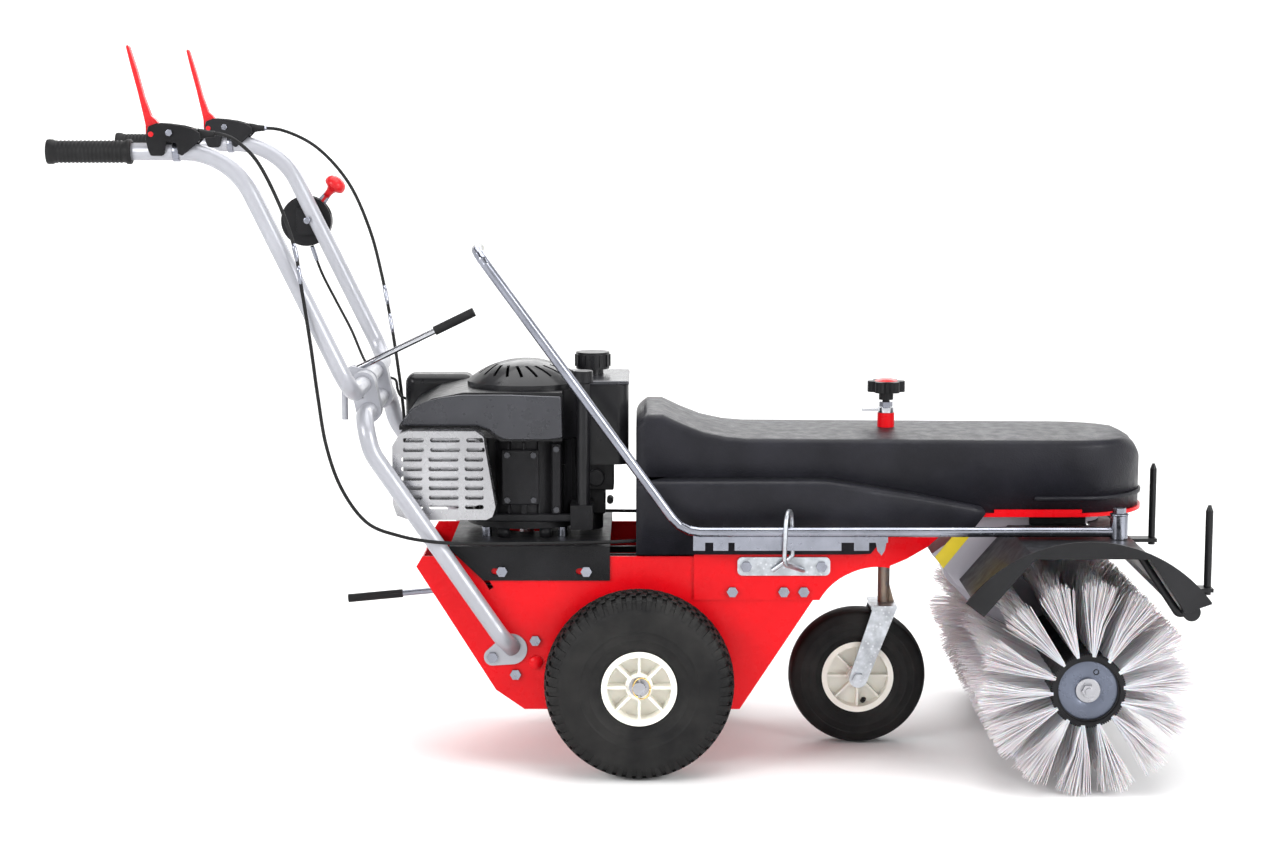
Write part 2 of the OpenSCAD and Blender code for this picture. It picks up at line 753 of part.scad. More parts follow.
// Clamp round the handlebar with two cheeks for the clutch lever and a cable nose
module lever_bracket(y) {
    difference() {
        union() {
            translate([-745, y, grip_z]) rotate([0, 90, 0]) cylinder(h = 30, d = bar_d + 10);
            along_y(y - 11, y + 11) polygon([[-762, 1006], [-764, 1030], [-752, 1038], [-735, 1036],
                [-700, 1033], [-692, 1016], [-712, 1006]]);
            translate([-700, y, 1024]) rotate([0, 90, 0]) cylinder(h = 31, d = 13);
        }
        translate([-800, y, grip_z]) rotate([0, 90, 0]) cylinder(h = 140, d = bar_d);
        translate([-780, y - 5, 1012]) cube([58, 10, 40]);
        cyl_y(lever_pivot, y - 20, y + 20, 3.2);
    }
    cyl_y(lever_pivot, y - 13, y + 13, 3);
}

module lever_brackets() {
    color(black) for (s = [-1, 1]) lever_bracket(s * arm_y);
}

module clutch_lever(y) {
    tip = lever_pivot + [-34, 137];
    difference() {
        along_y(y - 4, y + 4) hull() {
            translate(lever_pivot) circle(10, $fn = 32);
            translate(tip + [1, -4.5]) circle(4.5, $fn = 32);
        }
        cyl_y(lever_pivot, y - 20, y + 20, 3 + run);
    }
}

module clutch_lever_right() {
    color(red) clutch_lever(-arm_y);
}

module clutch_lever_left() {
    color(red) clutch_lever(arm_y);
}

module throttle_housing() {
    mid = throttle_pivot;
    color(black) difference() {
        union() {
            cyl_y(mid, 272, 296, 44);
            along_y(258, 274) translate(mid) square([30, 46], center = true);
        }
        bar([upper_line[2][0], arm_y, upper_line[2][2]], upper_line[1] + [0, 2 * arm_y, 0], bar_d);
        cyl_y(mid, 277, 291, 39);
        along_y(277, 291) translate(mid) rotate(51) translate([0, -26]) square([60, 52]);
        cyl_y(mid, 260, 300, 5.2);
    }
    color(zinc) cyl_y(mid, 272, 298, 5);
}

module throttle_lever() {
    knob = throttle_pivot + [50, 62];
    color(zinc) difference() {
        along_y(281, 287) link_outline(throttle_pivot, knob, 12, 4);
        cyl_y(throttle_pivot, 260, 300, 5 + run);
    }
    color(red) difference() {
        translate([knob[0], 284, knob[1]]) rotate([0, 39, 0]) rotate_extrude() intersection() {
            translate([0, 2]) circle(15);
            translate([0, -6]) square([15, 20]);
        }
        along_y(280.8, 287.2) link_outline(throttle_pivot, knob, 12, 4.2);
    }
}

module clamp_lever() {
    at = [clamp_pivot[0], -46, clamp_pivot[1]];
    along = unit([196, 0, 95]);
    color(zinc) difference() {
        union() {
            cyl_y(clamp_pivot, -53.5, -40, 9);
            bar(at + 6 * along, at + 212 * along, 10);
        }
        cyl_y(clamp_pivot, -60, -30, 4 + run);
    }
    color(black) difference() {
        bar(at + 150 * along, at + 222 * along, 15);
        bar(at + 149 * along, at + 212.2 * along, 10.4);
    }
}

module shift_rod() {
    from = [-200, 0, 271.4];
    along = unit([-137, 0, -13]);
    color(zinc) bar(from, from + 280 * along, 10);
    color(black) difference() {
        bar(from + 198 * along, from + 290 * along, 14);
        bar(from, from + 280.2 * along, 10.4);
    }
}

// ---------- wheels ----------
function rim_half(w) = 0.36 * w;

module tyre_lens(r, w, gap) {
    crown = 1.15 * w;
    wall = 0.9375 * w;
    intersection() {
        translate([r - crown, 0]) circle(crown - gap, $fn = 96);
        translate([(r + bead_r) / 2, wall - w / 2]) circle(wall - gap, $fn = 96);
        translate([(r + bead_r) / 2, w / 2 - wall]) circle(wall - gap, $fn = 96);
    }
}

module tyre_section(r, w, wall) {
    half = rim_half(w);
    difference() {
        intersection() {
            tyre_lens(r, w, 0);
            translate([bead_r, -w]) square([r, 2 * w]);
        }
        intersection() {
            tyre_lens(r, w, wall);
            translate([bead_r + 8, -w]) square([r, 2 * w]);
        }
        translate([bead_r - 1, 8 - half]) square([10, 2 * half - 16]);
        for (s = [-1, 1]) translate([bead_r - 1, s > 0 ? half : -half - 20]) square([6, 20]);
    }
}

module rim_section(w, hub_r, hub_half, bore_r) {
    half = rim_half(w);
    translate([bead_r - 4, -half]) square([4, 2 * half]);
    for (s = [-1, 1]) translate([bead_r - 4, s > 0 ? half : -half - 4]) square([9, 4]);
    translate([hub_r, -3]) square([bead_r - 4 - hub_r, 6]);
    translate([bore_r, -hub_half]) square([hub_r - bore_r, 2 * hub_half]);
}

module rim_solid(w, hub_r, hub_half, bore_r) {
    rotate([-90, 0, 0]) {
        rotate_extrude() rim_section(w, hub_r, hub_half, bore_r);
        for (i = [0 : 7]) rotate(45 * i) translate([hub_r - 1, -2, -rim_half(w) + 5])
            cube([bead_r - 3 - hub_r, 4, 2 * rim_half(w) - 10]);
    }
}

module half_shaft() {
    end_y = wheel_y + 37;
    color("gray") {
        difference() {
            cyl_y([0, axle_z], 3, end_y, axle_d / 2);
            cyl_z(0, end_y - 7, 0, big, 2.7);
        }
        cyl_z(0, end_y - 7, axle_z - 16, axle_z + 16, 2.5);
        difference() {
            cyl_y([0, axle_z], wheel_y + 22, wheel_y + 25, 16);
            cyl_y([0, axle_z], 0, big, axle_d / 2 + 0.2);
        }
    }
}

module half_shaft_right() {
    mirror([0, 1, 0]) half_shaft();
}

module half_shaft_left() {
    half_shaft();
}

module drive_rim_right() {
    color(white) translate([0, -wheel_y, axle_z]) rim_solid(drive_tyre_w, 22, 22, axle_d / 2);
}

module drive_rim_left() {
    color(white) translate([0, wheel_y, axle_z]) rim_solid(drive_tyre_w, 22, 22, axle_d / 2);
}

module drive_tyre_right() {
    color(black) turned_y(0, -wheel_y, axle_z) tyre_section(drive_tyre_d / 2, drive_tyre_w, 10);
}

module drive_tyre_left() {
    color(black) turned_y(0, wheel_y, axle_z) tyre_section(drive_tyre_d / 2, drive_tyre_w, 10);
}

// ---------- caster and height adjuster ----------
module spindle_tube() {
    color(red) difference() {
        cyl_z(caster_x, 0, 330, 559, 14);
        cyl_z(caster_x, 0, 0, big, stem_d / 2 + run);
    }
}

module height_knob() {
    color("silver") {
        cyl_z(caster_x, 0, 350, 590, 6);
        translate([caster_x, 0, 569]) linear_extrude(8) difference() {
            hexagon(19);
            circle(6);
        }
    }
    color(black) difference() {
        union() {
            cyl_z(caster_x, 0, 581, 596, 12);
            cyl_z(caster_x, 0, 594, 612, 24);
            for (a = [0 : 60 : 300]) translate([caster_x, 0, 594]) rotate(a) translate([22, 0, 0])
                cylinder(h = 18, r = 9);
        }
        cyl_z(caster_x, 0, 0, 590.2, 6.2);
    }
    color(red) translate([caster_x, 0, 0]) rotate_extrude() intersection() {
        translate([0, 577]) circle(40);
        translate([0, 612.2]) square([20, 10]);
    }
}

module lock_lever() {
    color("silver") difference() {
        union() {
            cyl_z(caster_x, 0, 559.4, 568, 13);
            translate([caster_x - 40, -7, 562]) cube([40, 14, 4]);
        }
        cyl_z(caster_x, 0, 0, big, 6 + run);
    }
}

module height_nut() {
    color("gold") difference() {
        union() {
            cyl_z(caster_x, 0, 440, 490, stem_d / 2);
            cyl_z(caster_x, 0, 425, 440, 8);
        }
        cyl_z(caster_x, 0, 0, big, 6 + run);
    }
}

module caster_fork() {
    axle = [caster_axle_x, caster_axle_z];
    crown_z = 233;
    color("silver") {
        difference() {
            union() {
                for (y = [-fork_out, fork_in]) along_y(y, y + 5) difference() {
                    link_outline([caster_x, crown_z + 6], axle, 19, 15);
                    translate([0, crown_z + 6]) square([big, 100]);
                }
                translate([caster_x - 24, -fork_out, crown_z]) cube([43, 2 * fork_out, 6]);
                cyl_z(caster_x, 0, crown_z, 439.6, stem_d / 2);
                along_y(-3, 3) polygon([[caster_x + 9, crown_z + 5], [caster_x + 18, crown_z + 5],
                    [caster_x + 9, crown_z + 38]]);
            }
            cyl_y(axle, -big, big, 6.2);
            cyl_z(caster_x, 0, 320, big, 8 + run);
        }
        cyl_y(axle, -fork_out - 1, fork_out + 1, 6);
        for (s = [0, 1]) mirror([0, s, 0]) {
            translate([axle[0], 0, axle[1]]) along_y(-fork_out - 8.2, -fork_out - 0.2) hexagon(19);
            difference() {
                cyl_y(axle, 0.2 - fork_in, -26.4, 10);
                cyl_y(axle, -big, big, 6.2);
            }
        }
    }
}

module caster_rim() {
    color(white) translate([caster_axle_x, 0, caster_axle_z])
        rim_solid(caster_tyre_w, 17, 26, 6 + run);
}

module caster_tyre() {
    color(black) turned_y(caster_axle_x, 0, caster_axle_z)
        tyre_section(caster_tyre_d / 2, caster_tyre_w, 8);
}

// ---------- brush head ----------
module gear_housing() {
    axis = [brush_x, brush_z];
    color("lightgray") difference() {
        union() {
            along_y(-75, 75) difference() {
                polygon([[571, 400], [735, 400], [735, 384], [709, 372], [640, 340], [565, 257],
                    [524, 281], [481, 334]]);
                translate(axis) circle(178);
            }
            along_y(-22, 22) link_outline([548, 305], axis, 42, 50);
            cyl_z(swivel_x, 0, 384, 400, 66);
            cyl_z(swivel_x, 0, 400, boom_z + 0.5, 30 - run);
            cyl_z(swivel_x, 0, boom_z + 0.5, 417, 26);
        }
        cyl_y(axis, -big, big, 12.5 + run);
        cyl_z(swivel_x, 0, 330, big, 10 + run);
    }
}

module hood() {
    color(black) {
        difference() {
            along_y(4 - hood_y, hood_y - 4) bent_sheet(hood_line, 3);
            translate([440, -79, 200]) cube([300, 158, 300]);
            cyl_z(boss_x, rod_y, 300, 500, 6);
        }
        for (s = [0, 1]) mirror([0, s, 0]) {
            along_y(-hood_y, 4 - hood_y) difference() {
                intersection() {
                    translate([690, 172]) circle(235);
                    polygon([[500, 312], [529, 290], [838, 296], [878, 310], [878, 420], [480, 420]]);
                }
                polygon([[529, 250], hood_line[0], hood_line[1], hood_line[2], hood_line[3], [838, 250]]);
            }
            translate([640, -120, 383]) cube([92, 45, 3]);
            translate([640, -78, 386]) cube([92, 3, 12]);
        }
    }
}

module hopper_frame() {
    slope = unit(hood_line[3] - hood_line[2]);
    inset = 7.5 * [slope[1], -slope[0]];
    top = hood_line[2] + inset;
    foot = hood_line[3] + inset + 6 * slope;
    color(black) {
        cyl_y(hopper_bar, -335, 335, 14);
        for (y = [-325, 325]) {
            bent_bar([[top[0], y, top[1]], [foot[0], y, foot[1]],
                [hopper_bar[0], y, hopper_bar[1]]], 8, 12);
        }
        for (y = [-hopper_pin_y, hopper_pin_y]) {
            translate([hopper_bar[0] - 6, y - 15, 302]) cube([62, 30, 6]);
            cyl_z(hopper_pin_x, y, 296, 430, 6);
            translate([hopper_pin_x, y, 430]) cylinder(h = 10, r1 = 6, r2 = 2.5);
        }
    }
}

// Ring that hangs the head in the boom, and the bolt of the steering rod
module head_fasteners() {
    color(zinc) {
        difference() {
            cyl_z(swivel_x, 0, boom_z + 0.5, 416, 45);
            cyl_z(swivel_x, 0, 0, big, 26);
        }
        cyl_z(boss_x, rod_y, 366, 424, 6);
        translate([boss_x, rod_y, 424]) linear_extrude(9) hexagon(19);
        translate([boss_x, rod_y, 368]) linear_extrude(9) difference() {
            hexagon(19);
            circle(6);
        }
        difference() {
            cyl_z(boss_x, rod_y, 421.4, 423.8, 15);
            cyl_z(boss_x, rod_y, 0, big, 6.2);
        }
    }
}

module brush_tubes() {
    color(black) for (s = [0, 1]) mirror([0, s, 0]) difference() {
        cyl_y([brush_x, brush_z], -brush_w / 2 + 4, -26, brush_tube_d / 2);
        cyl_y([brush_x, brush_z], -big, big, brush_tube_d / 2 - 9);
    }
}

module bristles() {
    step = 360 / tuft_rows;
    color(white) for (s = [0, 1]) mirror([0, s, 0]) translate([brush_x, 0, brush_z])
        along_y(-brush_w / 2, -27) intersection() {
            difference() {
                for (i = [0 : tuft_rows - 1]) rotate(step * (i + 0.2))
                    polygon([[50, -3.5], [160, -0.26 * step * 1.9], [171, -0.26 * step * 1.9],
                        [171, 0.26 * step * 1.9], [160, 0.26 * step * 1.9], [50, 3.5]]);
                circle(brush_tube_d / 2);
            }
            circle(brush_d / 2, $fn = 96);
        }
}

module brush_shaft() {
    axis = [brush_x, brush_z];
    end_y = brush_w / 2 + 6;
    color("silver") {
        cyl_y(axis, 5 - brush_w / 2, brush_w / 2 - 5, 12.5);
        cyl_y(axis, -end_y, end_y, 6);
        for (s = [0, 1]) mirror([0, s, 0]) {
            difference() {
                union() {
                    cyl_y(axis, -brush_w / 2 + 8, -brush_w / 2 + 14, brush_tube_d / 2 - 9);
                    cyl_y(axis, -40, -34, brush_tube_d / 2 - 9);
                    cyl_y(axis, -brush_w / 2 + 5, -brush_w / 2 + 8, 19);
                }
                cyl_y([brush_x + 12, brush_z + 29], -brush_w, -brush_w / 2 + 20, 4);
            }
            translate([brush_x, 0, brush_z]) along_y(-brush_w / 2 - 3, -brush_w / 2 + 5) hexagon(19);
        }
    }
}

module steering_rod() {
    comb = [[86, 105], [118, 142], [152, 322], [342, 366]];
    line = [[boss_x - 8, rod_y, rod_z], [69, rod_y, rod_z], [-256, rod_y, 841],
        [-256, rod_y + 80, 841]];
    color(zinc) difference() {
        union() {
            bent_bar(line, [0, 55, 26, 0], rod_d);
            cyl_z(boss_x, rod_y, 384, 421, 14);
            along_y(rod_y - 2, rod_y + 2) {
                for (c = comb) translate([c[0], 364]) square([c[1] - c[0], 20]);
                translate([comb[0][0], 377]) square([310, rod_z - 382]);
                polygon([[374, rod_z - 4], [379, 364], [386, 356], [391, 364], [396, rod_z - 4]]);
            }
        }
        cyl_z(boss_x, rod_y, 300, 500, 6 + run);
    }
    color(white) difference() {
        cyl_y([-256, 841], rod_y + 66, rod_y + 86, 10);
        cyl_y([-256, 841], rod_y + 60, rod_y + 80.2, 8.1);
    }
}

side_plate_right();
side_plate_left();
chassis_pan();
boom();
engine_deck();
chassis_bolts();
gearbox();
engine_block();
engine_mounts();
engine_shroud();
recoil_cover();
muffler();
muffler_guard();
air_filter();
fuel_tank();
oil_filler();
drive_belts();
belt_cover();
spindle_tube();
lower_handlebar();
handlebar_flanges();
handlebar_clamps();
rod_guide();
clutch_cable_right();
clutch_cable_left();
throttle_cable();
upper_handlebar();
hand_grips();
lever_brackets();
throttle_housing();
clutch_lever_right();
clutch_lever_left();
throttle_lever();
clamp_lever();
shift_rod();
half_shaft_right();
half_shaft_left();
drive_rim_right();
drive_rim_left();
drive_tyre_right();
drive_tyre_left();
height_knob();
lock_lever();
height_nut();
caster_fork();
caster_rim();
caster_tyre();
gear_housing();
hood();
hopper_frame();
head_fasteners();
brush_tubes();
bristles();
brush_shaft();
steering_rod();
crankshaft();
drive_pulley();
jackshaft();
input_pulley();
fuel_cap();
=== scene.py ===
"""Looks of the walk-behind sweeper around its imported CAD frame. Metres, +X forwards, +Z up."""
import json
import math
import random

import bmesh
import bpy
from mathutils import Matrix, Vector


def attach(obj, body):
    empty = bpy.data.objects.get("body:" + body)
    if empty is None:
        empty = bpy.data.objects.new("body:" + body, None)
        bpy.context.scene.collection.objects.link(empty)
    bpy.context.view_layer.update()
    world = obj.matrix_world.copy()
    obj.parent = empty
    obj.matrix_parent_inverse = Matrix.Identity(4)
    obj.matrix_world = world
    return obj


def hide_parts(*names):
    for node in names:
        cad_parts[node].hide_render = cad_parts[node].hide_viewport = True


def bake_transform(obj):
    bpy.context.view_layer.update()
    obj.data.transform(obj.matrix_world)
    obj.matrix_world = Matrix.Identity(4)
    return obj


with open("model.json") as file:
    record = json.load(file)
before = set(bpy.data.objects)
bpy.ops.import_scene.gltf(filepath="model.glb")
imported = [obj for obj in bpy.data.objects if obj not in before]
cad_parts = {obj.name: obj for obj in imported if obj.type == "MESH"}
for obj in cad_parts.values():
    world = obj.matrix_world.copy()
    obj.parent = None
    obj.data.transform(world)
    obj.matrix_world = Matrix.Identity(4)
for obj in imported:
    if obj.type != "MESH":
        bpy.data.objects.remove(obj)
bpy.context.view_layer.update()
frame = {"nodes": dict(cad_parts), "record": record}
MM = 0.001
SEED = 7
SIDES = (("right", -1), ("left", 1))    # name and sign of Y
ALONG_X = Matrix.Rotation(math.pi / 2, 4, "Y")      # turns local +Z to +X
rng = random.Random(SEED)

# ---------------------------------------------------------------- camera
LENS_MM = 70.4
SENSOR_MM = 36.0
FAR_CLIP = 60.0
CAMERA_PLACE = (0.0048, -4.1276, 1.1007)
TILT_DOWN = 7.80        # degrees
PAN = 0.05              # degrees

cam_data = bpy.data.cameras.new("camera")
cam_data.lens = LENS_MM
cam_data.sensor_width = SENSOR_MM
cam_data.clip_end = FAR_CLIP
cam = bpy.data.objects.new("camera", cam_data)
bpy.context.scene.collection.objects.link(cam)
cam.location = CAMERA_PLACE
cam.rotation_euler = (math.radians(90 - TILT_DOWN), 0.0, math.radians(PAN))
bpy.context.scene.camera = cam

# ---------------------------------------------------------------- materials
MIX_SHARE, MIX_A, MIX_B, MIX_OUT = 0, 6, 7, 2       # sockets of a Mix node in colour mode
GRIME = (0.16, 0.13, 0.10)
SKIN_DEPTH = 0.004              # how far light goes into plastic
DRAWN = (0.06, 1, 1)            # stretches noise into marks along X
DULL = 0.16                     # specular level of black paint, plastic and rubber


def material(name, colour, rough=0.4, metal=0.0, vary=0.12, vary_scale=9.0, rough_vary=0.08,
             bumps=(), coat=0.0, coat_rough=0.1, specular=0.5, second=None, speck=None,
             subsurface=0.0, dirt=0.0):
    """Procedural finish. Noise blends its colour towards second, or towards a lighter tone.

    speck holds (scale, colour, size), dirt is the share of grime, and bumps holds
    (kind, scale, strength, distance) from coarse to fine.
    """
    finish = bpy.data.materials.new(name)
    finish.use_nodes = True
    nodes = finish.node_tree.nodes
    link = finish.node_tree.links.new
    surface = nodes["Principled BSDF"]
    surface.inputs["Metallic"].default_value = metal
    surface.inputs["Specular IOR Level"].default_value = specular
    surface.inputs["Coat Weight"].default_value = coat
    surface.inputs["Coat Roughness"].default_value = coat_rough
    surface.inputs["Subsurface Weight"].default_value = subsurface
    surface.inputs["Subsurface Scale"].default_value = SKIN_DEPTH
    place = nodes.new("ShaderNodeTexCoord").outputs["Object"]

    def texture(kind, scale, vector=place):
        node = nodes.new(kind)
        node.inputs["Scale"].default_value = scale
        link(vector, node.inputs["Vector"])
        return node

    def noise(scale, detail=3.0, roughness=0.55):
        node = texture("ShaderNodeTexNoise", scale)
        node.inputs["Detail"].default_value = detail
        node.inputs["Roughness"].default_value = roughness
        return node.outputs["Fac"]

    def mixed(share, low, high, low_link=None):
        node = nodes.new("ShaderNodeMix")
        node.data_type = "RGBA"
        link(share, node.inputs[MIX_SHARE])
        node.inputs[MIX_A].default_value = (*low, 1)
        node.inputs[MIX_B].default_value = (*high, 1)
        if low_link is not None:
            link(low_link, node.inputs[MIX_A])
        return node.outputs[MIX_OUT]

    def stretch(value, low, high, to_low=0.0, to_high=1.0):
        node = nodes.new("ShaderNodeMapRange")
        for label, limit in (("From Min", low), ("From Max", high),
                             ("To Min", to_low), ("To Max", to_high)):
            node.inputs[label].default_value = limit
        link(value, node.inputs["Value"])
        return node.outputs["Result"]

    lighter = tuple(min(1.0, c * (1 + 2 * vary) + 0.004 * vary) for c in colour)
    base = tuple(c * (1 - vary) for c in colour)
    shade = mixed(stretch(noise(vary_scale, 5), 0.35, 0.68), base, second or lighter)
    if speck:
        speck_scale, speck_colour, size = speck
        cells = texture("ShaderNodeTexVoronoi", speck_scale)
        spots = stretch(cells.outputs["Distance"], size, size * 0.5)
        shade = mixed(spots, base, speck_colour, shade)
    if dirt:
        patches = stretch(noise(38, 8, 0.7), 0.62, 0.82, 0, dirt)
        shade = mixed(patches, base, GRIME, shade)
    link(shade, surface.inputs["Base Color"])
    smoothest, roughest = max(0.03, rough - rough_vary), min(1, rough + rough_vary)
    worn = stretch(noise(vary_scale * 6, 6), 0.3, 0.7, smoothest, roughest)
    link(worn, surface.inputs["Roughness"])
    normal = None
    for kind, scale, strength, distance in bumps:
        if kind == "cells":
            cells = texture("ShaderNodeTexVoronoi", scale)
            cells.feature = "SMOOTH_F1"
            height = cells.outputs["Distance"]
        elif kind == "brushed":
            drawn = nodes.new("ShaderNodeMapping")
            drawn.inputs["Scale"].default_value = DRAWN
            link(place, drawn.inputs["Vector"])
            height = texture("ShaderNodeTexNoise", scale, drawn.outputs["Vector"]).outputs["Fac"]
        else:
            height = noise(scale, 4)
        bump = nodes.new("ShaderNodeBump")
        bump.inputs["Strength"].default_value = strength
        bump.inputs["Distance"].default_value = distance
        link(height, bump.inputs["Height"])
        if normal is not None:
            link(normal, bump.inputs["Normal"])
        normal = bump.outputs["Normal"]
    if normal is not None:
        link(normal, surface.inputs["Normal"])
    return finish


FINISHES = {
    "red_paint": dict(colour=(0.56, 0.0020, 0.006), rough=0.30, vary=0.05, specular=0.14,
                      coat=0.03, coat_rough=0.12, bumps=[("noise", 420, 0.10, 0.0004)]),
    # deck_paint: its light grey specks are painted glints, the sparkle of the textured black paint
    # put into its colour
    "deck_paint": dict(colour=(0.006, 0.006, 0.007), rough=0.42, specular=DULL, vary=0.3,
                       speck=(1500, (0.05, 0.05, 0.055), 0.10),
                       bumps=[("cells", 620, 0.55, 0.0010), ("noise", 1600, 0.3, 0.0004)]),
    "black_paint": dict(colour=(0.007, 0.007, 0.008), rough=0.38, specular=DULL, vary=0.25,
                        coat=0.12, bumps=[("noise", 520, 0.12, 0.0005)]),
    "bar_paint": dict(colour=(0.30, 0.305, 0.335), rough=0.36, metal=0.30, vary=0.04, coat=0.2,
                      bumps=[("noise", 240, 0.03, 0.0003)]),
    "housing_paint": dict(colour=(0.40, 0.39, 0.44), rough=0.42, metal=0.08, vary=0.06,
                          speck=(1500, (0.74, 0.74, 0.78), 0.12),
                          bumps=[("noise", 900, 0.16, 0.0004)]),
    "zinc": dict(colour=(0.235, 0.245, 0.285), rough=0.22, metal=1.0, vary=0.10, vary_scale=22,
                 rough_vary=0.08, bumps=[("noise", 70, 0.05, 0.0004)]),
    "galvanised": dict(colour=(0.40, 0.42, 0.45), rough=0.36, metal=0.92, vary=0.18, vary_scale=55,
                       speck=(130, (0.56, 0.58, 0.61), 0.30), bumps=[("noise", 80, 0.06, 0.0005)],
                       dirt=0.08),
    "steel": dict(colour=(0.32, 0.32, 0.34), rough=0.30, metal=1.0, vary=0.12,
                  bumps=[("brushed", 900, 0.15, 0.0004)]),
    "aged_steel": dict(colour=(0.30, 0.29, 0.28), rough=0.5, metal=0.7, vary=0.3, vary_scale=70,
                       second=(0.36, 0.27, 0.20), bumps=[("noise", 300, 0.2, 0.0005)], dirt=0.35),
    "brass": dict(colour=(0.62, 0.43, 0.14), rough=0.26, metal=1.0,
                  bumps=[("brushed", 700, 0.1, 0.0003)]),
    "chrome": dict(colour=(0.46, 0.47, 0.50), rough=0.10, metal=1.0, vary=0.04,
                   bumps=[("noise", 120, 0.03, 0.0003)]),
    "engine_cast": dict(colour=(0.007, 0.007, 0.008), rough=0.46, specular=DULL, vary=0.3,
                        bumps=[("cells", 500, 0.25, 0.0007), ("noise", 1100, 0.2, 0.0003)]),
    "gearbox_cast": dict(colour=(0.32, 0.32, 0.33), rough=0.52, metal=0.8, vary=0.2,
                         bumps=[("cells", 480, 0.35, 0.0008)], dirt=0.2),
    "exhaust": dict(colour=(0.38, 0.38, 0.395), rough=0.27, metal=0.95, vary=0.08,
                    bumps=[("noise", 90, 0.06, 0.0006)]),
    "engine_plastic": dict(colour=(0.0055, 0.0055, 0.0065), rough=0.34, specular=DULL, vary=0.3,
                           coat=0.18, bumps=[("noise", 1100, 0.12, 0.0003)]),
    "graphite": dict(colour=(0.035, 0.036, 0.042), rough=0.30, metal=0.55, vary=0.10, coat=0.22,
                     bumps=[("noise", 1400, 0.05, 0.0002)]),
    "cover_plastic": dict(colour=(0.0105, 0.0105, 0.014), rough=0.42, specular=DULL, vary=0.2,
                          bumps=[("cells", 430, 0.34, 0.0011), ("noise", 1000, 0.2, 0.0004)]),
    "control_plastic": dict(colour=(0.006, 0.006, 0.007), rough=0.38, specular=DULL, vary=0.3,
                            bumps=[("noise", 800, 0.15, 0.0004)]),
    "red_plastic": dict(colour=(0.46, 0.010, 0.014), rough=0.28, vary=0.06, specular=0.2,
                        coat=0.06, subsurface=0.05, bumps=[("noise", 500, 0.06, 0.0003)]),
    "rim_plastic": dict(colour=(0.83, 0.81, 0.74), rough=0.36, vary=0.04, subsurface=0.06,
                        bumps=[("noise", 400, 0.08, 0.0004)], dirt=0.05),
    "bristle": dict(colour=(0.68, 0.655, 0.69), rough=0.38, vary=0.05, vary_scale=28,
                    second=(0.76, 0.74, 0.76), subsurface=0.25,
                    bumps=[("noise", 700, 0.15, 0.0003)]),
    "tyre": dict(colour=(0.0085, 0.0085, 0.009), rough=0.58, specular=DULL, vary=0.35,
                 vary_scale=16, second=(0.016, 0.0155, 0.015), bumps=[("noise", 600, 0.2, 0.0004)],
                 dirt=0.04),
    "rubber": dict(colour=(0.007, 0.007, 0.0075), rough=0.55, specular=DULL, vary=0.3,
                   bumps=[("noise", 900, 0.22, 0.0003)]),
    "hub_disc": dict(colour=(0.085, 0.098, 0.135), rough=0.30, metal=0.6, vary=0.08, coat=0.3,
                     bumps=[("brushed", 500, 0.06, 0.0002)]),
    "gold": dict(colour=(0.70, 0.50, 0.20), rough=0.24, metal=1.0,
                 bumps=[("noise", 300, 0.05, 0.0003)]),
    "stripe": dict(colour=(0.78, 0.62, 0.02), rough=0.38, vary=0.06,
                   bumps=[("noise", 500, 0.05, 0.0002)]),
}
SURFACES = {name: material(name, **look) for name, look in FINISHES.items()}


# ---------------------------------------------------------------- mesh helpers
def piece(name, verts, faces, finish, body, slot=None, smooth=True, replaces=()):
    """A mesh with its finish that rides on body and stands for the CAD nodes in replaces."""
    mesh = bpy.data.meshes.new(name)
    mesh.from_pydata(verts, [], faces)
    mesh.validate()
    work = bmesh.new()
    work.from_mesh(mesh)
    bmesh.ops.recalc_face_normals(work, faces=work.faces)
    work.to_mesh(mesh)
    work.free()
    for face in mesh.polygons:
        face.use_smooth = smooth
    o = bpy.data.objects.new(name, mesh)
    bpy.context.scene.collection.objects.link(o)
    mesh.materials.append(SURFACES[finish])
    if body:
        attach(o, body)
    if replaces:
        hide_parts(*replaces)
    return o


def soften(o, width, segments=3, angle=30):
    """Rounds the edges that are sharper than angle, in degrees."""
    rounding = o.modifiers.new("bevel", "BEVEL")
    rounding.width = width
    rounding.segments = segments
    rounding.limit_method = "ANGLE"
    rounding.angle_limit = math.radians(angle)
    shading = o.modifiers.new("edges", "WEIGHTED_NORMAL")
    shading.keep_sharp = True
    return o


def in_metres(points):
    """Points given in mm, in metres."""
    return [tuple(c * MM for c in point) for point in points]


def mirrored(half):
    """A closed outline from its half at negative Y."""
    return half + [(x, -y) for x, y in reversed(half)]


def lathe_y(profile, x, y, z, segments=96, closed=True):
    """Turns (radius, across) points round a crosswise axis; y is where across = 0."""
    verts, faces, k = [], [], len(profile)
    for i in range(segments):
        a = 2 * math.pi * i / segments
        verts += [(x + r * math.cos(a), y + h, z + r * math.sin(a)) for r, h in profile]
    for i in range(segments):
        j = (i + 1) % segments
        for q in range(k if closed else k - 1):
            w = (q + 1) % k
            faces.append((i * k + q, i * k + w, j * k + w, j * k + q))
    return verts, faces


def turned(profile, turn, segments=64, closed=True):
    """Turns (radius, height) points round local +Z, then moves them by the matrix turn."""
    verts, faces = lathe_y(profile, 0, 0, 0, segments, closed)
    return [tuple(turn @ Vector((v[0], v[2], v[1]))) for v in verts], faces


